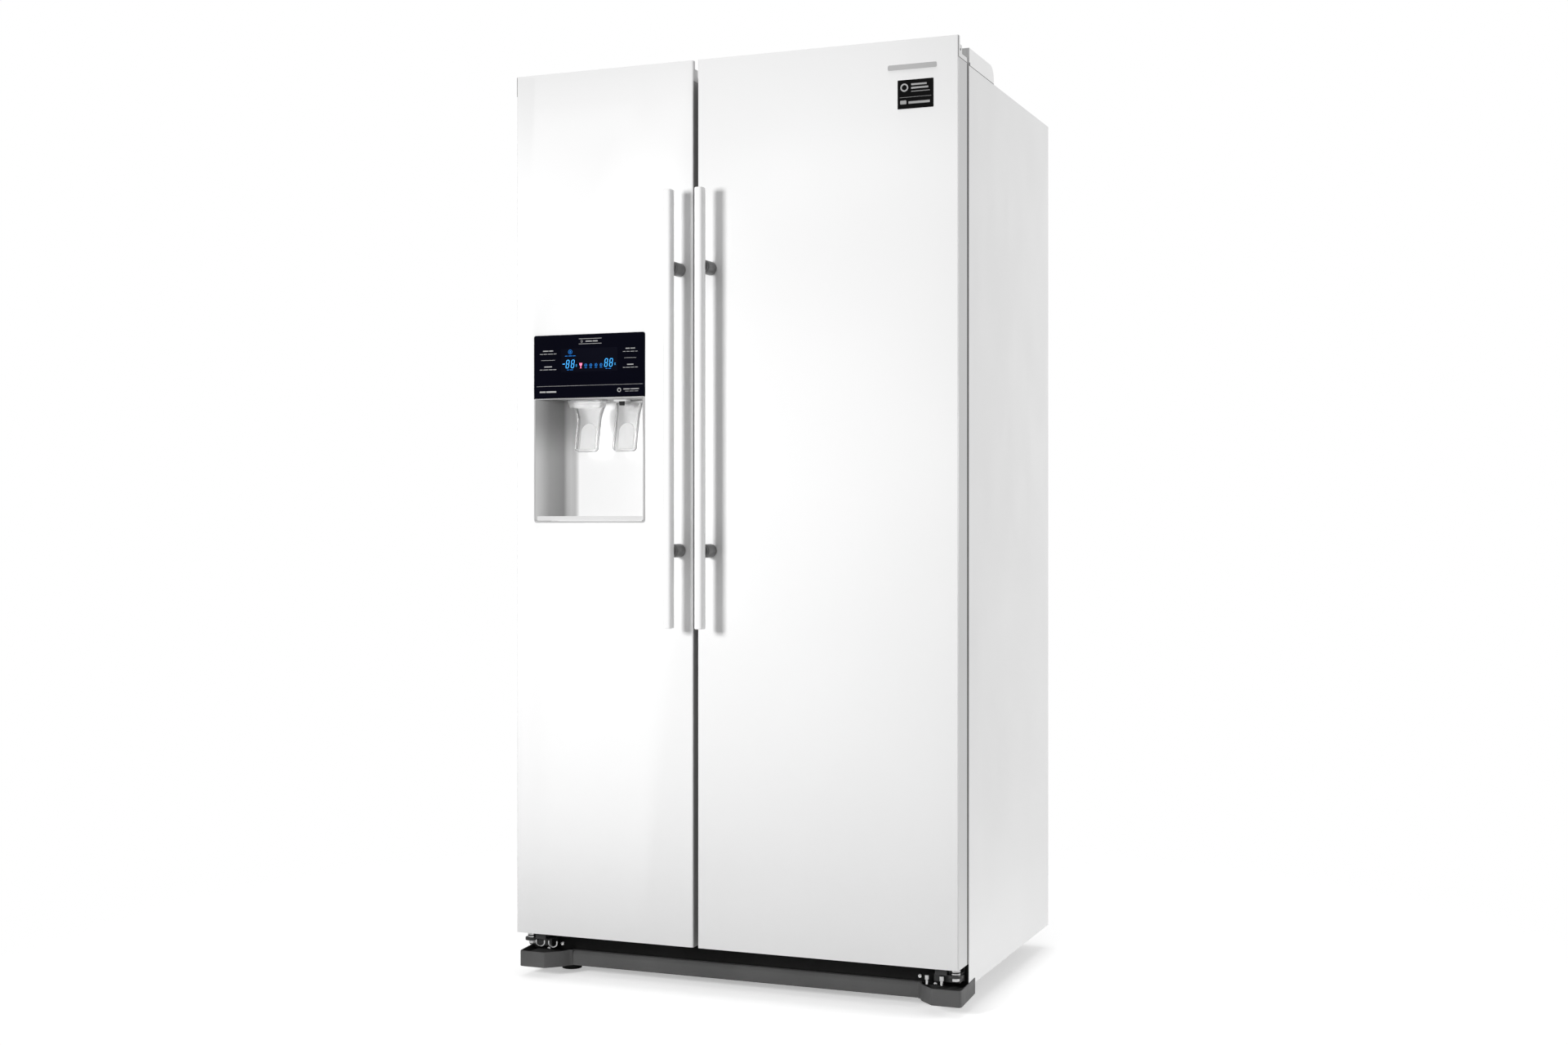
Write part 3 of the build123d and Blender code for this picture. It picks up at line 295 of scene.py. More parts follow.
# ------------------------------------------------------------------ finishes
def finish(name, effect, scale, colours, roughness, bump, **shader_values):
    """Material whose colour, roughness and relief all come from one shared effect."""
    material = bpy.data.materials.new(name)
    material.use_nodes = True
    tree = material.node_tree.nodes
    links = material.node_tree.links
    shader = tree["Principled BSDF"]
    source = tree.new("ShaderNodeGroup")
    source.node_tree = effect
    source.inputs["Scale"].default_value = scale
    blend = tree.new("ShaderNodeMix")
    blend.data_type = "RGBA"
    blend.inputs[6].default_value = (*colours[0], 1)
    blend.inputs[7].default_value = (*colours[1], 1)
    links.new(source.outputs["Tone"], blend.inputs[0])
    links.new(blend.outputs[2], shader.inputs["Base Color"])
    polish = tree.new("ShaderNodeMapRange")
    polish.inputs["To Min"].default_value = roughness[0]
    polish.inputs["To Max"].default_value = roughness[1]
    links.new(source.outputs["Smear"], polish.inputs["Value"])
    links.new(polish.outputs["Result"], shader.inputs["Roughness"])
    relief = tree.new("ShaderNodeBump")
    relief.inputs["Distance"].default_value = bump * mm
    links.new(source.outputs["Height"], relief.inputs["Height"])
    links.new(relief.outputs["Normal"], shader.inputs["Normal"])
    for label, value in shader_values.items():
        shader.inputs[label.replace("_", " ")].default_value = value
    return material


def glowing(name, colour, strength):
    """Lit segment of the display, a little uneven across its light guide."""
    made = finish(name, grain, 0.5, (colour, colour), (0.3, 0.4), 0.0)
    shader = made.node_tree.nodes["Principled BSDF"]
    shader.inputs["Emission Color"].default_value = (*colour, 1)
    shader.inputs["Emission Strength"].default_value = strength
    return made


def grey(value, tint=(1, 1, 1)):
    """A grey of one brightness, with a slight tint."""
    return tuple(value * t for t in tint)


door_white = finish("door_enamel", ripple, 1, (grey(0.86), grey(0.88)), (0.30, 0.36), 0.004)
case_white = finish("case_enamel", ripple, 1.6, (grey(0.80), grey(0.82)), (0.42, 0.5), 0.012)
# Enamel of the doors' folded sides: the door's white painted greyer as shade, darkest on the sides facing the
# gap between the doors.
side_fold_painted_shade = finish("side_fold_painted_shade", ripple, 1.6, (grey(0.63), grey(0.65)), (0.34, 0.42), 0.008)
gap_fold_painted_shade = finish("gap_fold_painted_shade", ripple, 1.6, (grey(0.36), grey(0.39)), (0.5, 0.6), 0.008)
handle_white = finish("handle_enamel", ripple, 2, (grey(0.84), grey(0.86)), (0.18, 0.24), 0.003,
                      Coat_Weight=0.5)
white_plastic = finish("white_moulding", grain, 1, (grey(0.80), grey(0.83)), (0.32, 0.42), 0.004)
tray_white = finish("tray_white", grain, 1, (grey(0.60), grey(0.64)), (0.36, 0.46), 0.004)
# White moulding of the hinge covers, lighter than the other white mouldings: painted light on faces that the
# door's top keeps in shade.
cover_painted_light = finish("hinge_cover_painted_light_moulding", grain, 0.8, (grey(0.90), grey(0.92)), (0.38, 0.46), 0.006)
trim_white = finish("rim_moulding", grain, 1, (grey(0.80, (0.98, 1, 1.01)), grey(0.84, (0.98, 1, 1.01))),
                    (0.2, 0.3), 0.002)
gloss_plastic = finish("gloss_white_moulding", grain, 1, (grey(0.82), grey(0.84)), (0.12, 0.2), 0.0015)
cap_plastic = finish("cap_moulding", grain, 0.8, (grey(0.78), grey(0.80)), (0.38, 0.46), 0.006)
zinc = finish("zinc_steel", spangle, 1, (grey(0.50), grey(0.62, (0.98, 1, 1.02))), (0.32, 0.45), 0.01,
              Metallic=1.0)
bright_steel = finish("bright_steel", spangle, 3, (grey(0.62), grey(0.70)), (0.16, 0.26), 0.004, Metallic=1.0)
silver_trim = finish("silver_trim", ripple, 3, (grey(0.66), grey(0.72)), (0.28, 0.34), 0.002, Metallic=0.5)
aluminium = finish("rolled_aluminium", spangle, 2, (grey(0.72), grey(0.78)), (0.28, 0.4), 0.006, Metallic=1.0)
trim_grey = finish("dark_moulding", grain, 1, (grey(0.062), grey(0.078)), (0.42, 0.52), 0.01)
black_plastic = finish("black_moulding", grain, 1, (grey(0.016), grey(0.024)), (0.36, 0.48), 0.008)
post_grey = finish("post_grey", ripple, 4, (grey(0.17), grey(0.20)), (0.34, 0.42), 0.003, Metallic=0.2)
seal_grey = finish("seal_rubber", grain, 0.7, (grey(0.13), grey(0.16)), (0.55, 0.68), 0.012)
# Near-black for thin strips painted as shadow in gaps: behind the doors' sides, round the top caps and under
# the hinge covers.
painted_gap_shade = finish("gap_shadow", grain, 1, (grey(0.10), grey(0.13)), (0.7, 0.8), 0.002)
seal_dark = finish("dark_rubber", grain, 0.7, (grey(0.05), grey(0.07)), (0.55, 0.68), 0.012)
tray_grey = finish("tray_moulding", grain, 1, (grey(0.42), grey(0.46)), (0.36, 0.46), 0.006)
foam_cream = finish("insulation", cells, 1, ((0.72, 0.62, 0.36), (0.80, 0.71, 0.45)), (0.8, 0.95), 0.08)
# Black paint of the base, made darker and duller than paint as painted shade beneath the doors.
chassis_black_painted_shade = finish("chassis_paint_and_painted_shade", ripple, 2, (grey(0.004), grey(0.007)), (0.6, 0.75), 0.01,
                       Specular_IOR_Level=0.15)
motor_black = finish("compressor_paint", ripple, 2, (grey(0.02), grey(0.03)), (0.25, 0.38), 0.02)
panel_black = finish("panel_glass", ripple, 3, ((0.0011, 0.0012, 0.0042), (0.0015, 0.0016, 0.0052)),
                     (0.05, 0.09), 0.0004, Specular_IOR_Level=0.06)
window_black = finish("display_window", ripple, 3, ((0.0022, 0.0024, 0.0060), (0.003, 0.0032, 0.0075)),
                      (0.05, 0.09), 0.0004, Specular_IOR_Level=0.06)
print_grey = finish("panel_print", grain, 2, (grey(0.34), grey(0.42)), (0.4, 0.5), 0.001)
label_black = finish("label_film", ripple, 4, (grey(0.004), grey(0.006)), (0.3, 0.4), 0.001,
                     Specular_IOR_Level=0.1)
lit_blue = glowing("display_blue", (0.05, 0.36, 0.80), 0.75)
dim_blue = glowing("display_dim_blue", (0.01, 0.15, 0.50), 0.8)
lit_pink = glowing("display_pink", (0.80, 0.16, 0.30), 0.9)
clear_plastic = finish("clear_moulding", grain, 1, (grey(0.70), grey(0.74)), (0.04, 0.08), 0.0006,
                       Transmission_Weight=0.9, IOR=1.46)
frosted_plastic = finish("frosted_moulding", grain, 1, (grey(0.68), grey(0.72)), (0.35, 0.45), 0.004,
                         Transmission_Weight=0.35, IOR=1.3)
cool_tint, glass_tint = (0.96, 1, 1.02), (0.93, 1, 0.97)
bin_plastic = finish("clear_bin_moulding", grain, 1, (grey(0.74, cool_tint), grey(0.80, cool_tint)),
                     (0.06, 0.12), 0.001, Alpha=0.34)
shelf_glass = finish("shelf_glass", ripple, 2, (grey(0.62, glass_tint), grey(0.68, glass_tint)),
                     (0.03, 0.06), 0.0003, Alpha=0.3)


# ------------------------------------------------------------------ places
skin_low, skin_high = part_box("freezer_door_skin")
right_low, right_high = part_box("fridge_door_skin")
front = skin_low.y                        # face of the doors
door_back = skin_high.y
door_z = (skin_low.z, skin_high.z)
freezer_x = (skin_low.x, skin_high.x)
fridge_x = (right_low.x, right_high.x)
door_round = 3 * mm
cap_height = 39 * mm
side_top = door_z[1] - cap_height
steel = 1 * mm

panel_low, panel_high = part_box("control_panel")
dispenser_x = (panel_low.x, panel_high.x)
panel_z = (panel_low.z, panel_high.z)
panel_face = panel_low.y
tray_low, tray_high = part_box("drip_tray")
bezel = 4 * mm
recess_z = (tray_low.z, panel_z[0])
recess_back = tray_high.y
well_lean = 30.7 * mm
lever_pivot = (-240 * mm, recess_z[1] - 5 * mm)   # Y and Z of the levers' pins
lever_tilt = math.radians(-11)
pin_x, pin_y = 440 * mm, -270 * mm                # the doors' lower hinge pins


# ------------------------------------------------------------------ doors
def door_panel(door, opening=None):
    """Sheet of a door: the front with its two rounded edges, and the sides folded back in painted shade, with
    a dark strip of painted shadow behind each side.
    """
    low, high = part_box(f"{door}_skin")
    turns = [math.radians(15 * i) for i in range(7)]
    left = [(low.x + door_round * (1 - math.cos(a)), front + door_round * (1 - math.sin(a))) for a in turns]
    right = [(low.x + high.x - x, y) for x, y in reversed(left)]
    middle = [(x, front) for x in opening[0]] if opening else []
    plan = left + middle + right
    heights = [low.z, *(opening[1] if opening else ()), high.z]
    hole_column = len(left)
    shape = Shape()
    for row, (z0, z1) in enumerate(zip(heights, heights[1:])):
        for column, ((x0, y0), (x1, y1)) in enumerate(zip(plan, plan[1:])):
            if opening and row == 1 and column == hole_column:
                continue
            base = len(shape.points)
            shape.points.extend([(x0, y0, z0), (x1, y1, z0), (x1, y1, z1), (x0, y0, z1)])
            shape.faces.append((base, base + 1, base + 2, base + 3))
    shape.piece(f"{door}_panel", door, door_white, "door_enamel", (f"{door}_skin",), sheet=steel)
    for name, x, inward in (("left", low.x, 1), ("right", high.x, -1)):
        faces_gap = (door == "freezer_door") == (inward < 0)
        fold = Shape()
        across = sorted((x, x + inward * 0.9 * mm))
        fold.block(across, (front + door_round, door_back), (low.z, side_top))
        # Painted shade: the fold facing the other door gets the darker grey, the outer fold the lighter one.
        fold.piece(f"{door}_{name}_fold", door, gap_fold_painted_shade if faces_gap else side_fold_painted_shade, "door_enamel")
        # Dark strip behind each side of the door: painted shadow of the gap between door and cabinet.
        gap_shadow_strip = Shape()
        gap_shadow_strip.block(sorted((x + inward * 0.6 * mm, x + inward * 4 * mm)), (door_back, door_back + 7 * mm),
                     (low.z, side_top))
        gap_shadow_strip.piece(f"{door}_{name}_flange", door, painted_gap_shade)


def door_caps(door):
    """Moulded ends of a door: the stepped top cap and the bottom cap."""
    low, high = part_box(f"{door}_caps")
    lip, step = front + 10 * mm, front + 23 * mm
    top = high.z
    shape = Shape()
    stations = [(low.x + door_round * (1 - math.cos(a)), door_round * (1 - math.sin(a)))
                for a in [math.radians(18 * i) for i in range(6)]]
    stations += [(low.x + high.x - x, y) for x, y in reversed(stations)]
    rings = []
    for x, y in stations:
        face = front + steel + y
        rings.append(place("X", x, [
            (face, side_top + 0.3 * mm), (face, top - 1.0 * mm), (face + 1 * mm, top),
            (lip, top), (lip + 0.5 * mm, top - 15 * mm), (step, top - 15 * mm),
            (step + 0.5 * mm, top - 30 * mm), (door_back - 1 * mm, top - 30 * mm),
            (door_back, top - 31 * mm), (door_back, side_top + 0.3 * mm),
        ]))
    shape.skin(rings)
    inside = grown((low.x, high.x), -steel)
    shape.block(inside, (front + steel, door_back), (low.z, low.z + 12 * mm))
    shape.piece(f"{door}_end_caps", door, cap_plastic, "white_moulding", (f"{door}_caps",), edge=0.5 * mm)


def cap_details():
    """Black disc on the side of each top cap, painted as the shade of a hole, and the fine shadow gaps round
    caps and hinge covers, painted as thin dark strips.
    """
    covers_low, covers_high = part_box("hinge_covers")
    proud, line = 0.15 * mm, 1.1 * mm
    for door, side in (("freezer_door", -1), ("fridge_door", 1)):
        x = freezer_x[0] if side < 0 else fridge_x[1]
        outside = sorted((x + side * proud, x - side * 2 * proud))
        # Black disc painted as the shade inside a hole in the cap's side.
        hole = Shape()
        centre = (front + 13 * mm, side_top + 15 * mm)
        radius = 2.4 * mm
        near, far = outside
        hole.turned("X", centre, [(0, near), (radius, near), (radius, far), (0, far)], 20)
        hole.piece(f"{door}_cap_painted_hole_shade", door, black_plastic)
        # Thin dark strips painted as shadow lines along the cap's front and lower edges.
        gaps = Shape()
        gaps.block(outside, pair(front + 1.6 * mm, line), (side_top, door_z[1] - 1 * mm))
        gaps.block(outside, (front + 2 * mm, door_back), pair(side_top, line))
        gaps.piece(f"{door}_cap_painted_shadow_lines", door, painted_gap_shade)
        side_x = side * covers_high.x
        outside = sorted((side_x + side * proud, side_x - side * 2 * proud))
        # Dark strip under the hinge cover and a small block at its front corner: painted shadow of the gap
        # and of a notch.
        seam = Shape()
        seam.block(outside, (covers_low.y, covers_high.y), (covers_low.z, covers_low.z + line))
        seam.block(outside, (covers_low.y, covers_low.y + 5 * mm), (covers_low.z, covers_low.z + 6 * mm))
        seam.piece(f"hinge_cover_painted_shadow_{'left' if side < 0 else 'right'}", "cabinet", painted_gap_shade)


def door_gasket(door):
    """Magnetic door seal: a folded bellows with a flat sealing lip."""
    low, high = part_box(f"{door}_gasket")
    width = 14 * mm
    y0, y1 = low.y, high.y
    deep = y1 - y0
    section = [(0, y1), (0, y0 + deep * 0.62), (-width * 0.12, y0 + deep * 0.5), (0, y0 + deep * 0.3),
               (-width * 0.2, y0), (-width * 0.8, y0), (-width, y0 + deep * 0.3),
               (-width * 0.88, y0 + deep * 0.5), (-width, y0 + deep * 0.62), (-width, y1)]
    shape = Shape()
    shape.band("Y", ((low.x, high.x), (low.z, high.z), 10 * mm), section, 5)
    shape.piece(f"{door}_seal", door, seal_grey, "grey_seal", (f"{door}_gasket",), edge=0.4 * mm)


def handle(door, name):
    """Long bar with a rounded section and softly closed ends, and its two posts."""
    low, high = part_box(f"{name}_handle_bar")
    across, deep = (low.x, high.x), (low.y, high.y)
    end = 2.2 * mm
    stations = [(low.z + end * (1 - math.cos(math.radians(a))), end * (1 - math.sin(math.radians(a))))
                for a in (0, 22.5, 45, 67.5, 90)]
    stations += [(low.z + high.z - z, inset) for z, inset in reversed(stations)]
    shape = Shape()
    shape.skin([place("Z", z, rounded(grown(across, -inset), grown(deep, -inset), 6 * mm - inset, 6))
                for z, inset in stations])
    shape.piece(f"{name}_handle_grip", door, handle_white, "handle_enamel", (f"{name}_handle_bar",))
    posts = Shape()
    post_low, post_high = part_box(f"{name}_handle_posts")
    radius = (post_high.x - post_low.x) / 2
    x = (post_low.x + post_high.x) / 2
    for z in (post_low.z + radius, post_high.z - radius):
        posts.turned("Y", (x, z), [
            (radius - 2 * mm, post_low.y), (radius - 2 * mm, post_low.y + 3 * mm),
            (radius - 0.6 * mm, post_low.y + 4 * mm), (radius, post_low.y + 5 * mm),
            (radius, post_high.y - 2 * mm), (radius - 1 * mm, post_high.y - 1.2 * mm),
            (radius - 1 * mm, post_high.y),
        ], 40)
    posts.piece(f"{name}_handle_standoffs", door, post_grey, "dark_moulding", (f"{name}_handle_posts",))


def label_and_badge():
    """Blank raised badge and a small black film label with plain marks, on the fridge door."""
    badge_x, badge_z = (321 * mm, 415 * mm), (1734 * mm, 1744 * mm)
    badge = Shape()
    badge.prism("Y", rounded(badge_x, badge_z, 3 * mm), (front, front - 0.9 * mm))
    badge.piece("door_badge", "fridge_door", silver_trim, edge=0.4 * mm)
    label_x, label_z = (340 * mm, 409 * mm), (1662 * mm, 1715 * mm)
    film = Shape()
    film.prism("Y", rounded(label_x, label_z, 1 * mm), (front, front - 0.25 * mm))
    film.piece("door_label", "fridge_door", label_black)
    marks = Shape()
    face = (front - 0.25 * mm, front - 0.32 * mm)
    ring = (label_x[0] + 13 * mm, label_z[1] - 14 * mm)
    marks.band("Y", (pair(ring[0], 15 * mm), pair(ring[1], 15 * mm), 7.5 * mm),
               [(0, face[0]), (0, face[1]), (-2.6 * mm, face[1]), (-2.6 * mm, face[0])], 8)
    for row, length in enumerate((30, 33, 36)):
        z = label_z[1] - (9 + row * 6.4) * mm
        marks.prism("Y", rounded((label_x[0] + 26 * mm, label_x[0] + (26 + length) * mm),
                                 pair(z, (3.2 if row < 2 else 1.1) * mm), 0.5 * mm, 2), face)
    rule_z = pair(label_z[0] + 21 * mm, 0.5 * mm)
    marks.prism("Y", rounded(grown(label_x, -4 * mm), rule_z, 0.1 * mm, 1), face)
    marks.prism("Y", rounded((label_x[0] + 5 * mm, label_x[0] + 17 * mm),
                             pair(label_z[0] + 12 * mm, 7 * mm), 1.5 * mm, 3), face)
    marks.prism("Y", rounded((label_x[0] + 21 * mm, label_x[0] + 62 * mm),
                             pair(label_z[0] + 11 * mm, 4.4 * mm), 0.8 * mm, 2), face)
    marks.piece("door_label_marks", "fridge_door", print_grey)


# ------------------------------------------------------------------ dispenser
def well_plan(inset):
    """Plan of the recess, from the front left round the back to the front right."""
    left, right = dispenser_x[0] + bezel + inset, dispenser_x[1] - bezel - inset
    back = recess_back - inset
    mouth = front - 1.4 * mm
    knee_x = tray_low.x + well_lean + inset
    start = Vector((knee_x + 0.5 * mm, door_back + 1 * mm))
    pull = Vector((knee_x + 12.6 * mm, back - 0.4 * mm))
    far_end = Vector((knee_x + 20 * mm, back))
    points = [(left, mouth), ((left + start.x) / 2, (mouth + start.y) / 2)]
    for i in range(13):
        t = i / 12
        points.append(tuple(start * (1 - t) ** 2 + pull * 2 * t * (1 - t) + far_end * t ** 2))
    tight = 6 * mm
    right_back = right - 4.2 * mm
    for i in range(6):
        angle = math.radians(90 - 90 * i / 5)
        points.append((right_back - tight + tight * math.cos(angle), back - tight + tight * math.sin(angle)))
    points.append((right - 0.9 * mm, mouth))
    return points


def painted_shade_well():
    """White moulding with painted shade: its leaning left wall is painted grey, darkest beside the rear
    corner, and the whole moulding is painted darker towards the ceiling.
    """
    made = finish("well_painted_shade_moulding", grain, 1, (grey(0.82), grey(0.84)), (0.34, 0.36), 0.0015)
    tree, links = made.node_tree.nodes, made.node_tree.links
    spot = tree.new("ShaderNodeTexCoord")
    axes = tree.new("ShaderNodeSeparateXYZ")
    links.new(spot.outputs["Object"], axes.inputs["Vector"])
    # Painted shade on the leaning left wall, by X: greys darkest beside the rear corner, back to white at the
    # back wall.
    across = tree.new("ShaderNodeMapRange")
    knee_x = tray_low.x + well_lean
    across.inputs["From Min"].default_value = tray_low.x
    across.inputs["From Max"].default_value = knee_x + 22 * mm
    links.new(axes.outputs["X"], across.inputs["Value"])
    ramp = tree.new("ShaderNodeValToRGB")
    ramp.color_ramp.elements[0].color = (*grey(0.46), 1)
    ramp.color_ramp.elements[1].color = (*grey(0.80), 1)
    for at, value in ((0.30, 0.40), (0.58, 0.31), (0.66, 0.60), (0.74, 0.66), (0.84, 0.56)):
        ramp.color_ramp.elements.new(at).color = (*grey(value), 1)
    links.new(across.outputs["Result"], ramp.inputs["Fac"])
    # Painted shade towards the ceiling: the colour is darkened to 0.54 over the top of the recess.
    up = tree.new("ShaderNodeMapRange")
    up.interpolation_type = "SMOOTHSTEP"
    up.inputs["From Min"].default_value = recess_z[1] - 125 * mm
    up.inputs["From Max"].default_value = recess_z[1] - 30 * mm
    up.inputs["To Min"].default_value = 1.0
    up.inputs["To Max"].default_value = 0.54
    links.new(axes.outputs["Z"], up.inputs["Value"])
    painted_shade = tree.new("ShaderNodeVectorMath")
    painted_shade.operation = "SCALE"
    links.new(ramp.outputs["Color"], painted_shade.inputs[0])
    links.new(up.outputs["Result"], painted_shade.inputs["Scale"])
    links.new(painted_shade.outputs["Vector"], tree["Principled BSDF"].inputs["Base Color"])
    return made


def dispenser_well():
    """Recess of the dispenser: leaning left wall, rounded rear corner, floor and ceiling."""
    shape = Shape()
    low, high = recess_z
    fillet = 5 * mm
    rings = []
    for step in range(5):
        a = math.radians(90 * step / 4)
        rings.append(place("Z", low + fillet * (1 - math.cos(a)), well_plan(fillet * (1 - math.sin(a)))))
    rings.append(place("Z", high - 3 * mm, well_plan(0)))
    rings.append(place("Z", high - 1 * mm, well_plan(0.8 * mm)))
    rings.append(place("Z", high, well_plan(3 * mm)))
    shape.skin(rings, closed=False, ends=False)
    count = len(rings[0])
    shape.faces.append(tuple(reversed(range(count))))
    top = (len(rings) - 1) * count
    shape.faces.append(tuple(top + i for i in range(count)))
    # The moulding's colour carries painted shade on the left wall and towards the ceiling.
    shape.piece("dispenser_well", "freezer_door", painted_shade_well(), "white_moulding",
                ("dispenser_housing",), sheet=-1.2 * mm)


def dispenser_bezel():
    """Thin bright frame round the recess."""
    shape = Shape()
    outer_x, outer_z = dispenser_x, (recess_z[0] - bezel, recess_z[1] + 3 * mm)
    inner, foot = -bezel, front + 6 * mm
    section = [(0, front), (0, panel_face + 0.5 * mm), (-0.7 * mm, panel_face),
               (inner + 1.2 * mm, panel_face), (inner + 0.4 * mm, panel_face + 0.8 * mm),
               (inner, foot), (inner + 1 * mm, foot)]
    shape.band("Y", (outer_x, outer_z, 6 * mm), section, 6)
    shape.piece("dispenser_bezel", "freezer_door", silver_trim)


def ice_funnel():
    """Clear flared mouth of the ice chute and the water nozzle, under the ceiling."""
    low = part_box("dispenser_outlets")[0]
    lever_low, lever_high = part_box("ice_lever")
    middle = (lever_low.x + lever_high.x) / 2
    mouth_y = pair(low.y + 15 * mm, 27 * mm)
    wall = 1.6 * mm
    top, bottom = recess_z[1] - 0.4 * mm, recess_z[1] - 16 * mm
    rings = []
    for z, half, y, inset in ((top, 40 * mm, mouth_y, 0), (bottom, 35 * mm, mouth_y, 0),
                              (bottom, 35 * mm, mouth_y, wall), (top, 40 * mm, mouth_y, wall)):
        rings.append(place("Z", z, rounded(grown((middle - half, middle + half), -inset),
                                           grown(y, -inset), 4 * mm - inset, 5)))
    shape = Shape()
    shape.skin(rings, ends=False, loop=True)
    funnel = shape.piece("ice_funnel", "freezer_door", clear_plastic, "clear_moulding",
                         ("dispenser_outlets",), edge=0.3 * mm)
    funnel.visible_shadow = False
    water_low, water_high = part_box("water_lever")
    spot = ((water_low.x + water_high.x) / 2 - 6 * mm, -262 * mm)
    nozzle = Shape()
    nozzle.turned("Z", spot, [(8 * mm, top), (8 * mm, top - 4 * mm), (6 * mm, top - 5 * mm),
                              (5.2 * mm, top - 13 * mm),
                              (3 * mm, top - 13 * mm), (3 * mm, top - 6 * mm)], 28)
    nozzle.piece("water_nozzle", "freezer_door", black_plastic)
    holder = Shape()
    holder.prism("Z", rounded(pair(spot[0], 30 * mm), pair(spot[1], 20 * mm), 4 * mm), (top - 5 * mm, top))
    holder.piece("nozzle_holder", "freezer_door", white_plastic, edge=0.6 * mm)


def paddle(name, flare_left, flare_right):
    """Clear lever: a dished plate with a thick rim and a frosted pad, hung from its pin."""
    low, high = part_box(name)
    middle = (low.x + high.x) / 2
    half_width = 25 * mm
    pivot = Vector((middle, *lever_pivot))
    tilt = Matrix.Rotation(lever_tilt, 4, "X")
    length = 101 * mm
    rim, deep, thick = 3 * mm, 8 * mm, 2 * mm
    shoulder = -36 * mm

    def outline(inset):
        """Face-on outline with flared shoulders at the top and round lower corners."""
        wide = half_width - inset
        radius = 8 * mm - inset
        points = []
        for cx, start in ((-wide + radius, 180), (wide - radius, 270)):
            for i in range(7):
                a = math.radians(start + 15 * i)
                points.append((cx + radius * math.cos(a), -length + inset + radius + radius * math.sin(a)))
        rise = [(0, shoulder), (0.12, shoulder * 0.78), (0.55, shoulder * 0.42), (1, -3 * mm)]
        points += [(wide + flare_right * share, z) for share, z in rise]
        points += [(-wide - flare_left * share, z) for share, z in reversed(rise)]
        return points

    shape = Shape()
    rings = []
    for y, inset in ((thick / 2, 0.8 * mm), (0, 0), (-deep, 0), (-deep - 0.6 * mm, 0.8 * mm),
                     (-deep - 0.6 * mm, rim - 0.8 * mm), (-deep, rim), (-thick / 2, rim + 1 * mm)):
        rings.append(place("Y", y, outline(inset)))
    shape.skin(rings)
    pad = Shape()
    arch_half, arch_top, arch_foot = 17 * mm, -43 * mm, -length + 5 * mm
    arch = []
    for i in range(13):
        a = math.radians(180 - 15 * i)
        arch.append((arch_half * math.cos(a), arch_top - arch_half + arch_half * math.sin(a)))
    arch += [(arch_half, arch_foot), (-arch_half, arch_foot)]
    small = [(u * 0.94, arch_top - (arch_top - v) * 0.97) for u, v in arch]
    pad.skin([place("Y", -thick / 2, arch), place("Y", -thick / 2 - 1.1 * mm, small)])
    for form in (shape, pad):
        form.points = [tuple(pivot + tilt @ Vector(p)) for p in form.points]
    lever = shape.piece(f"{name}_paddle", name, clear_plastic, "clear_moulding", (name,), edge=0.3 * mm)
    frosted = pad.piece(f"{name}_pad", name, frosted_plastic, "clear_moulding")
    lever.visible_shadow = False
    frosted.visible_shadow = False
    hub = Shape()
    hub.turned("X", (pivot.y, pivot.z), [(2 * mm, low.x), (2 * mm, high.x)], 20)
    hub.piece(f"{name}_pin", name, white_plastic)


# ------------------------------------------------------------------ control panel
def panel_glass():
    """Glossy black panel with rounded upper corners."""
    shape = Shape()
    r = 4.5 * mm
    outline = rounded(dispenser_x, panel_z, (0.8 * mm, 0.8 * mm, r, r), 8)
    small = rounded(grown(dispenser_x, -0.7 * mm), grown(panel_z, -0.7 * mm), (0.4 * mm, 0.4 * mm, r, r), 8)
    shape.skin([place("Y", front + 6 * mm, outline), place("Y", panel_face + 0.6 * mm, outline),
                place("Y", panel_face, small)])
    shape.piece("control_glass", "freezer_door", panel_black, "black_glass", ("control_panel",))


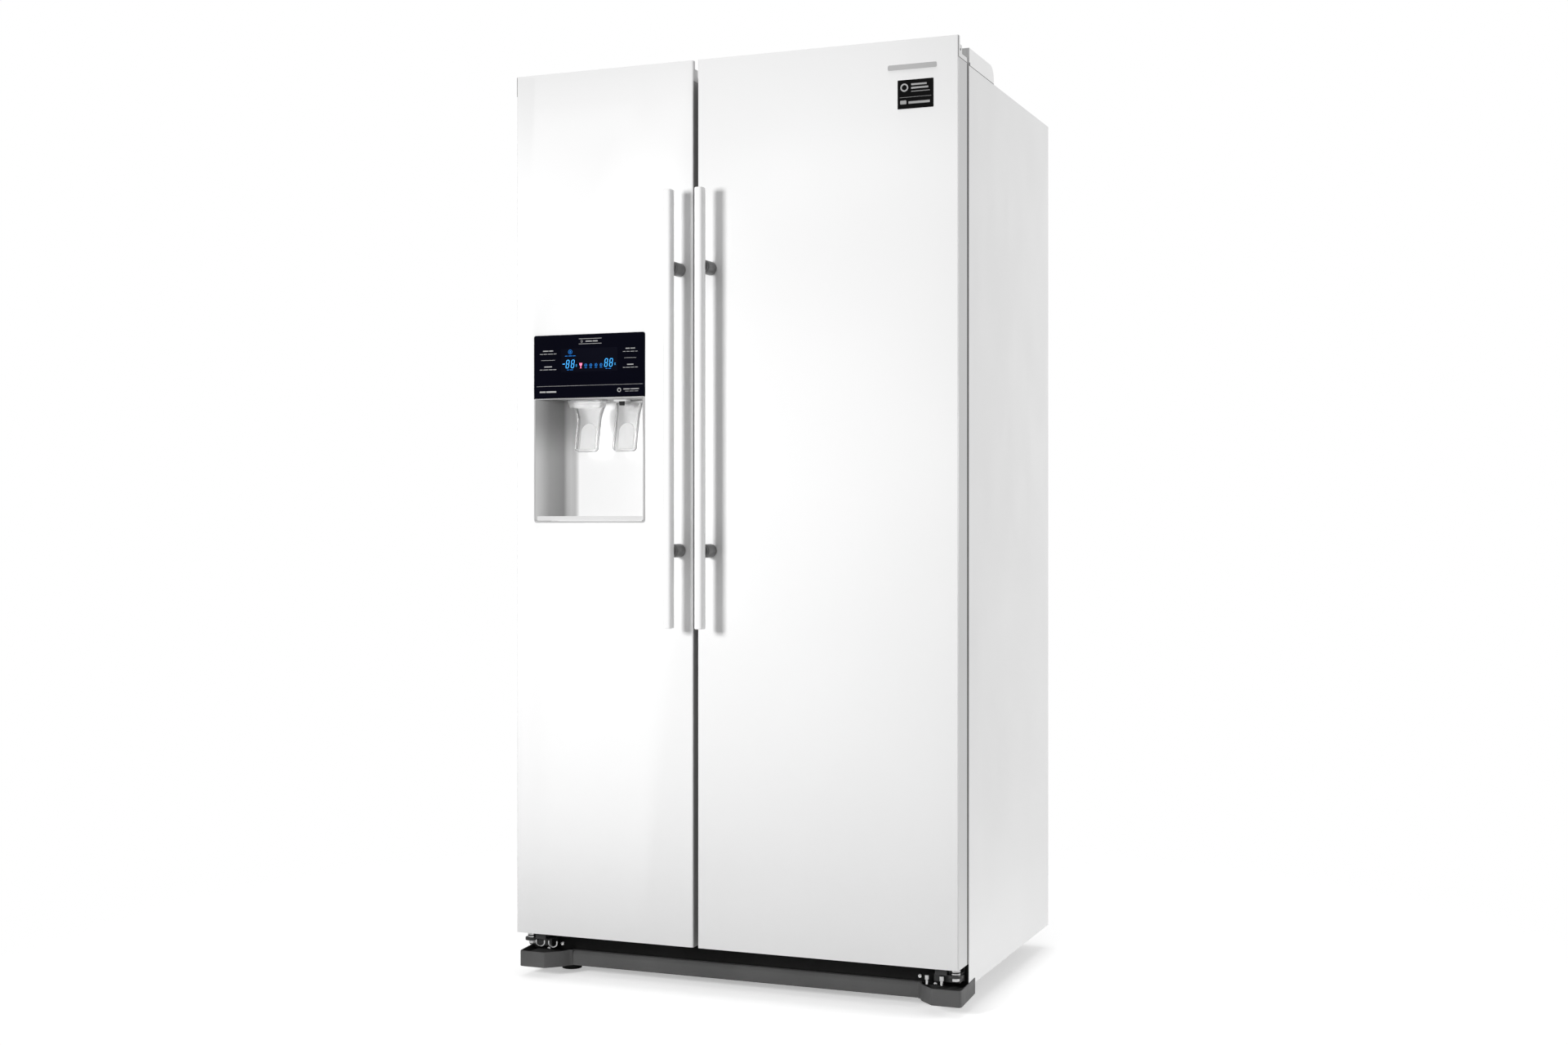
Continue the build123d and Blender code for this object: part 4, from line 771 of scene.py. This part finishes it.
class Print:
    """Flat marks on the panel, placed from its lower left corner in millimetres."""

    def __init__(self, raise_by):
        self.shape = Shape()
        self.face = (panel_face, panel_face - raise_by * mm)

    def bar(self, x, z, thick, radius=0.2):
        """Bar from x[0] to x[1], centred on height z."""
        across = (dispenser_x[0] + x[0] * mm, dispenser_x[0] + x[1] * mm)
        along = pair(panel_z[0] + z * mm, thick * mm)
        self.shape.prism("Y", rounded(across, along, radius * mm, 2), self.face)

    def words(self, x, z, lengths, thick):
        """Row of plain bars with gaps, which stands for a caption."""
        space = 1.6
        at = (x[0] + x[1]) / 2 - (sum(lengths) + space * (len(lengths) - 1)) / 2
        for length in lengths:
            self.bar((at, at + length), z, thick * 0.7, 0.3)
            at += length + space

    def segment(self, ends, width):
        """One sloping stroke of a digit, pointed at both ends."""
        a, b = Vector(ends[0]), Vector(ends[1])
        along = (b - a).normalized() * width / 2
        out = Vector((-along.y, along.x))
        outline = [a, a + along + out, b - along + out, b, b - along - out, a + along - out]
        points = [(dispenser_x[0] + p.x * mm, panel_z[0] + p.y * mm) for p in outline]
        self.shape.prism("Y", points, self.face)

    def digit(self, x, z, width, tall, slope=0.12):
        """Seven-segment eight with its lower left corner at x, z."""
        def at(u, v):
            return (x + u * width + slope * v * tall, z + v * tall)
        strokes = [((0, 0), (1, 0)), ((0, 0.5), (1, 0.5)), ((0, 1), (1, 1)),
                   ((0, 0), (0, 0.5)), ((1, 0), (1, 0.5)), ((0, 0.5), (0, 1)), ((1, 0.5), (1, 1))]
        for (u0, v0), (u1, v1) in strokes:
            a, b = Vector(at(u0, v0)), Vector(at(u1, v1))
            gap = (b - a).normalized() * 0.35
            self.segment((a + gap, b - gap), 1.3)

    def ring(self, x, z, radius, thick):
        """Open circle."""
        centre = (dispenser_x[0] + x * mm, panel_z[0] + z * mm)
        size = 2 * radius * mm
        self.shape.band("Y", (pair(centre[0], size), pair(centre[1], size), radius * mm),
                        [(0, self.face[0]), (0, self.face[1]), (-thick * mm, self.face[1]),
                         (-thick * mm, self.face[0])], 6)

    def done(self, name, material):
        """Makes the marks one piece on the freezer door."""
        return self.shape.piece(name, "freezer_door", material)


def panel_marks():
    """Generic captions, rules, digits and icons of the panel."""
    window = Print(0.05)
    window.bar((61, 184), 75, 46, 1.5)
    window.done("display_window", window_black)

    light = Print(0.12)
    light.bar((100, 150), 116.5, 0.9)
    light.bar((100, 150), 106.5, 0.9)
    light.ring(106.5, 111.5, 2.2, 0.7)
    light.words((108, 148), 111.4, (14, 11), 3.0)
    for x, upper, lower in (((14.3, 49.7), (12, 9), (7, 8, 11, 6)), ((196.6, 227.7), (9, 10), (6, 7, 9, 5))):
        light.words(x, 94.6, upper, 2.6)
        light.words(x, 88.6, lower, 1.5)
        light.words(x, 63.4, (upper[0] + 5,), 2.6)
        light.words(x, 57.7, lower[::-1], 1.5)
        light.bar((x[0] + 2.5, x[1] - 2.5), 76.3, 0.6)
    light.bar((6.3, 238.8), 25, 0.5)
    light.words((11.5, 51.7), 13.8, (13, 22), 4.2)
    light.ring(188.1, 14.3, 4.2, 1.6)
    light.words((195.7, 232.5), 15.8, (14, 18), 2.6)
    light.words((199, 231), 11.4, (8, 9, 8), 1.1)
    light.done("panel_captions", print_grey)

    blue = Print(0.16)
    blue.bar((64.3, 69.5), 68, 1.6, 0.4)
    blue.digit(71.5, 60.2, 5.8, 15.2)
    blue.digit(82.8, 60.2, 5.8, 15.2)
    blue.digit(156.0, 60.6, 5.8, 15.2)
    blue.digit(166.8, 60.6, 5.8, 15.2)
    for x, z in ((94.6, 64.4), (179.1, 65.2)):
        blue.ring(x, z + 1.2, 1.2, 0.45)
        blue.bar((x - 1.4, x + 1.4), z - 1.6, 0.6)
    blue.done("display_digits", lit_blue)

    soft = Print(0.16)
    soft.ring(81.1, 91.4, 4.4, 0.7)
    soft.bar((78.8, 83.4), 91.4, 0.8)
    soft.bar((80.7, 81.5), 91.4, 4.8)
    soft.words((69.5, 92.7), 83.6, (6, 8, 6), 1.3)
    soft.words((73.5, 87.4), 56.2, (5, 7), 1.2)
    soft.words((158.6, 170.4), 56.6, (4, 6), 1.2)
    for i, x in enumerate((115.3, 126.2, 137.7, 148.6)):
        soft.ring(x, 64.5, 2.9, 0.6)
        soft.bar((x - 2.6, x + 2.6), 59.4, 0.8)
        soft.bar((x - 0.5, x + 0.5), 64.5, 2.2 + 0.6 * i)
    soft.done("display_icons", dim_blue)

    cup = Print(0.16)
    x, z = 104.4, 64.0
    half_goblet = [(3.2, 5), (2.6, 1), (0.7, -1.2), (0.7, -3.8), (2.2, -5)]
    goblet = half_goblet + [(-u, v) for u, v in reversed(half_goblet)]
    outline = [(dispenser_x[0] + (x + u) * mm, panel_z[0] + (z + v) * mm) for u, v in goblet]
    cup.shape.prism("Y", outline, cup.face)
    cup.done("display_glass_icon", lit_pink)


# ------------------------------------------------------------------ base trim
def foot_cover(side):
    """Moulded cover over a levelling foot: front and slanted facets, raised rear tab and inner ledge."""
    low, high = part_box("foot_covers")
    outer, face = high.x + 1.4 * mm, low.y
    z0, z1 = low.z, high.z + 2 * mm
    back = high.y
    wall = 3 * mm
    bar_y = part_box("kick_plate")[0].y
    name = "left" if side < 0 else "right"
    plan = [(0, back), (0, face + 6 * mm), (1.8 * mm, face + 1.8 * mm), (6 * mm, face), (54 * mm, face),
            (58 * mm, face + 1 * mm), (84 * mm, face + 26 * mm), (90 * mm, bar_y - 6 * mm),
            (97 * mm, bar_y - 0.5 * mm)]
    inner = [(wall, back), (wall, face + 7 * mm), (wall + 1.5 * mm, face + wall + 1.5 * mm),
             (7 * mm, face + wall), (53 * mm, face + wall), (56 * mm, face + wall + 1 * mm),
             (81 * mm, face + 28 * mm), (87 * mm, bar_y - 3 * mm), (96 * mm, bar_y + 1.5 * mm)]
    plan = [(outer - inward, y) for inward, y in plan]
    inner = [(outer - inward, y) for inward, y in inner]
    outline = plan + inner[::-1]
    outline = [(side * x, y) for x, y in outline]
    shape = Shape()
    count = len(plan)
    top = [z1 - 4 * mm] * count
    top[0] = z1 + 1 * mm
    tops = top + top[::-1]
    foot = [z0 + (6 * mm if i == 0 else 0) for i in range(count)]
    feet = foot + foot[::-1]
    shape.skin([[(x, y, z) for (x, y), z in zip(outline, feet)],
                [(x, y, z) for (x, y), z in zip(outline, tops)]])
    ledge = [(side * x, y) for x, y in inner]
    ledge += [(side * (outer - 96 * mm), back), (side * (outer - wall), back)]
    shape.prism("Z", ledge[1:], (z1 - 14 * mm, z1 - 12 * mm))
    shape.piece(f"foot_cover_{name}", "cabinet", trim_grey, "dark_moulding",
                ("foot_covers",), edge=1.2 * mm)


def kick_bar():
    """Long moulded bar between the foot covers, with a rounded top."""
    low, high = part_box("kick_plate")
    y0, y1 = low.y, high.y
    z0, z1 = low.z, high.z
    section = [(y0 + 1.5 * mm, z0), (y0, z0 + 2 * mm), (y0, z1 - 9 * mm), (y0 + 1.5 * mm, z1 - 4.5 * mm),
               (y0 + 5 * mm, z1 - 1 * mm), (y1, z1), (y1, z1 - 2.5 * mm), (y0 + 6.5 * mm, z1 - 3.5 * mm),
               (y0 + 3 * mm, z1 - 8 * mm), (y0 + 3 * mm, z0)]
    shape = Shape()
    shape.skin([place("X", x, section) for x in (low.x, high.x)])
    shape.piece("kick_bar", "cabinet", trim_grey, "dark_moulding", ("kick_plate",), edge=0.6 * mm)


def lower_hardware(side):
    """Under a door: sleeve, nut, bracket block, screws, and two clips at the left or pins at the right."""
    name = "left" if side < 0 else "right"
    plate = door_z[0] - 15 * mm
    sleeve = Shape()
    sleeve.turned("Z", (side * pin_x, pin_y), [
        (9.4 * mm, plate), (9.4 * mm, plate + 3 * mm),
        (7.4 * mm, plate + 3.6 * mm), (7.4 * mm, plate + 5.2 * mm),
        (9.2 * mm, plate + 5.8 * mm), (9.2 * mm, plate + 8.4 * mm), (7.4 * mm, plate + 9 * mm),
        (7.4 * mm, plate + 10.6 * mm), (9.8 * mm, plate + 11.2 * mm), (9.8 * mm, plate + 14.4 * mm)], 36)
    sleeve.piece(f"hinge_sleeve_{name}", "cabinet", bright_steel)
    nut = Shape()
    nut.prism("Z", circle((side * pin_x, pin_y), 8 * mm, 6), (plate - 12 * mm, plate - 5 * mm))
    nut.piece(f"hinge_nut_{name}", "cabinet", bright_steel, edge=0.6 * mm)
    block = Shape()
    inner = 418 * mm
    block.block(sorted((side * (inner - 14 * mm), side * (inner + 9 * mm))), (-282 * mm, -246 * mm),
                (plate - 1 * mm, plate + 14.4 * mm))
    block.block(sorted((side * (inner - 20 * mm), side * (inner + 30 * mm))), (-268 * mm, -240 * mm),
                (plate - 16 * mm, plate - 1 * mm))
    block.piece(f"door_stop_{name}", "cabinet", black_plastic, edge=1.0 * mm)
    clips = Shape()
    for x in (inner - 2 * mm, inner - 30 * mm):
        turns = [math.radians(a) for a in range(180, 361, 15)]
        bow = [(side * x + 9 * mm * math.cos(a), -281 * mm, plate - 7 * mm + 7 * mm * math.sin(a))
               for a in turns]
        path = [(bow[0][0], bow[0][1], plate - 2 * mm), *bow, (bow[-1][0], bow[-1][1], plate - 2 * mm)]
        if side < 0:
            clips.tube(path, 1.5 * mm, 8)
        else:
            pin = [(3 * mm, plate - 20 * mm), (3 * mm, plate - 12 * mm),
                   (4.6 * mm, plate - 11 * mm), (4.6 * mm, plate - 3 * mm)]
            clips.turned("Z", (side * x, -278 * mm), pin, 24)
    clips.piece(f"spring_clips_{name}", "cabinet", bright_steel)
    screws = Shape()
    for x, z in ((inner - 46 * mm, plate - 8 * mm), (inner - 16 * mm, plate - 20 * mm)):
        screws.turned("Y", (side * x, z), [(0, -272 * mm), (3.2 * mm, -271.6 * mm), (3.8 * mm, -270 * mm),
                                           (3.8 * mm, -268 * mm)], 20)
    screws.piece(f"bracket_screws_{name}", "cabinet", bright_steel)


# ------------------------------------------------------------------ bins and drawers
def storage_rims():
    """Rolled rims of the door bins and the drawers, and the drawers' front trims."""
    bin_wall, bin_headroom, rim_tall = 4 * mm, 20 * mm, 6 * mm
    for space in frame["record"]["physics"]["openings"]:
        name = space["name"]
        low, high = (Vector(corner) for corner in space["box_m"])
        is_bin = "_door_bin_" in name
        is_drawer = name.startswith(("crisper_", "freezer_drawer_"))
        if not (is_bin or is_drawer):
            continue
        body = name.split("_bin_")[0] if is_bin else name
        top = high.z - bin_headroom if is_bin else high.z + 1 * mm
        across = grown((low.x, high.x), bin_wall - 0.3 * mm)
        along = grown((low.y, high.y), bin_wall - 0.3 * mm)
        rim = Shape()
        rim.band("Z", (across, along, 3 * mm), [
            (0, top - rim_tall), (0.2 * mm, top - 1 * mm),
            (-0.4 * mm, top + 0.6 * mm), (-4 * mm, top + 0.6 * mm),
            (-5 * mm, top - 0.4 * mm), (-5 * mm, top - rim_tall * 0.6), (-4.2 * mm, top - rim_tall)], 4)
        if is_drawer:
            trim_y = (along[0] - 0.6 * mm, along[0] + 4.5 * mm)
            rim.prism("Z", rounded(across, trim_y, 1.5 * mm, 3), (top - 26 * mm, top - rim_tall - 0.5 * mm))
        rim.piece(f"{name}_rim", body, trim_white, "white_moulding")


# ------------------------------------------------------------------ kept frame nodes
def keep(node, material, edge=0.6 * mm):
    """Gives a node of the frame its finish and rounded edges."""
    thing = nodes[node]
    thing.data.materials.clear()
    thing.data.materials.append(material)
    thing.data.shade_smooth()
    weld = thing.modifiers.new("weld", "WELD")
    weld.merge_threshold = 0.01 * mm
    if edge:
        round_edges(thing, edge)


KEPT = {
    (case_white, 0.5): ("case_panels",),
    (case_white, 0.4): ("front_frame",),
    (zinc, 0.4): ("back_panel",),
    # Base chassis: black paint darkened further as painted shade beneath the doors.
    (chassis_black_painted_shade, 0.4): ("base_chassis",),
    (zinc, 0.3): ("machine_cover",),
    (zinc, 0.6): ("top_hinges",),
    (black_plastic, 0.6): ("bottom_hinges",),
    (bright_steel, 0.4): ("case_screws",),
    (gloss_plastic, 0.8): ("freezer_liner", "fridge_liner", "freezer_door_liner", "fridge_door_liner"),
    # Hinge covers: a lighter copy of the white moulding, painted light where the door's top casts shade.
    (cover_painted_light, 1.6): ("hinge_covers",),
    (white_plastic, 0.8): ("evaporator_covers", "shelf_trims"),
    (white_plastic, 1.0): ("ice_maker",),
    (tray_grey, 1.0): ("control_board_box",),
    (foam_cream, 0): ("cabinet_foam", "freezer_door_foam", "fridge_door_foam"),
    (seal_dark, 0.5): ("cord_gland",),
    (trim_grey, 0.8): ("water_valve",),
    (seal_dark, 0.4): ("rear_roller_left", "rear_roller_right"),
    (black_plastic, 0.5): ("levelling_foot_left", "levelling_foot_right"),
    (shelf_glass, 0.5): ("shelf_panes",),
    (tray_white, 0.4): ("drip_tray",),
    (motor_black, 0.8): ("compressor",),
    (aluminium, 0): ("evaporators", "condenser"),
    (black_plastic, 0.8): ("fan_motors",),
    (black_plastic, 0.4): ("condenser_fan", "freezer_fan", "fridge_fan"),
    (bright_steel, 0.3): ("ice_auger",),
    (bin_plastic, 0.6): ("ice_bucket", "freezer_door_bins", "fridge_door_bins"),
    (bin_plastic, 0.8): ("freezer_drawer_lower", "freezer_drawer_upper", "crisper_lower", "crisper_upper"),
}


# ------------------------------------------------------------------ studio
def floor():
    """Pale studio floor, brightened for the camera, that fades into the white surround."""
    half = 6.0
    mesh = bpy.data.meshes.new("studio_floor")
    corners = [(-half, -half, 0), (half, -half, 0), (half, half, 0), (-half, half, 0)]
    mesh.from_pydata(corners, [], [(0, 1, 2, 3)])
    paper = finish("floor_paper", grain, 0.05, (grey(0.90), grey(0.91)), (0.8, 0.9), 0.0)
    mesh.materials.append(paper)
    tree, links = paper.node_tree.nodes, paper.node_tree.links
    spot = tree.new("ShaderNodeTexCoord")
    away = tree.new("ShaderNodeVectorMath")
    away.operation = "LENGTH"
    links.new(spot.outputs["Object"], away.inputs[0])
    fade = tree.new("ShaderNodeMapRange")
    fade.interpolation_type = "SMOOTHSTEP"
    fade.inputs["From Min"].default_value = 0.55
    fade.inputs["From Max"].default_value = 1.7
    fade.inputs["To Min"].default_value = 1.0
    fade.inputs["To Max"].default_value = 0.0
    links.new(away.outputs["Value"], fade.inputs["Value"])
    shader = tree["Principled BSDF"]
    links.new(fade.outputs["Result"], shader.inputs["Alpha"])
    path = tree.new("ShaderNodeLightPath")
    links.new(path.outputs["Is Camera Ray"], shader.inputs["Emission Color"])
    shader.inputs["Emission Strength"].default_value = 0.42
    plane = bpy.data.objects.new("studio_floor", mesh)
    bpy.context.scene.collection.objects.link(plane)


def lamp(name, spot, target, size, power):
    """Square soft light that looks from a spot to a target."""
    data = bpy.data.lights.new(name, "AREA")
    data.size = size
    data.energy = power
    thing = bpy.data.objects.new(name, data)
    thing.location = spot
    thing.rotation_euler = (Vector(target) - Vector(spot)).to_track_quat("-Z", "Y").to_euler()
    bpy.context.scene.collection.objects.link(thing)
    return thing


def studio():
    """White surround, key light from the left front, side fill and overhead light."""
    world = bpy.data.worlds.new("white_surround")
    bpy.context.scene.world = world
    world.use_nodes = True
    tree, links = world.node_tree.nodes, world.node_tree.links
    back = tree["Background"]
    seen = tree.new("ShaderNodeBackground")
    seen.inputs["Color"].default_value = (1, 1, 1, 1)
    seen.inputs["Strength"].default_value = 1.0
    back.inputs["Color"].default_value = (1, 1, 1, 1)
    back.inputs["Strength"].default_value = 0.32
    path = tree.new("ShaderNodeLightPath")
    either = tree.new("ShaderNodeMixShader")
    links.new(path.outputs["Is Camera Ray"], either.inputs["Fac"])
    links.new(back.outputs["Background"], either.inputs[1])
    links.new(seen.outputs["Background"], either.inputs[2])
    links.new(either.outputs["Shader"], tree["World Output"].inputs["Surface"])
    key = lamp("key_light", (-1.08, -3.36, 1.36), (0.05, -0.3, 0.95), 0.62, 94)
    key.visible_glossy = False
    lamp("side_fill", (3.8, 1.5, 1.3), (0.45, 0.1, 0.9), 2.2, 96)
    lamp("overhead", (0, 0.4, 4.6), (0, 0.1, 0), 3.2, 50)


def camera():
    """Eye level view from the right front."""
    data = bpy.data.cameras.new("camera")
    data.lens = 44.475
    data.sensor_width = 36.0
    thing = bpy.data.objects.new("camera", data)
    thing.location = (1.463, -3.684, 0.904)
    thing.rotation_euler = Vector((-0.3704, 0.9289, 0)).to_track_quat("-Z", "Y").to_euler()
    bpy.context.scene.collection.objects.link(thing)
    bpy.context.scene.camera = thing


# ------------------------------------------------------------------ build
recess_hole = (grown(dispenser_x, -2 * mm), (recess_z[0] - 2 * mm, panel_z[1] - 2 * mm))
door_panel("freezer_door", recess_hole)
door_panel("fridge_door")
for door in ("freezer_door", "fridge_door"):
    door_caps(door)
    door_gasket(door)
cap_details()
handle("freezer_door", "freezer")
handle("fridge_door", "fridge")
label_and_badge()
dispenser_well()
dispenser_bezel()
ice_funnel()
paddle("ice_lever", 13 * mm, 7 * mm)
paddle("water_lever", 1 * mm, 4 * mm)
panel_glass()
panel_marks()
for side in (-1, 1):
    foot_cover(side)
    lower_hardware(side)
kick_bar()
storage_rims()
for (material, edge), names in KEPT.items():
    for node in names:
        keep(node, material, edge * mm)
floor()
studio()
camera()
bpy.context.scene.view_settings.view_transform = "Standard"
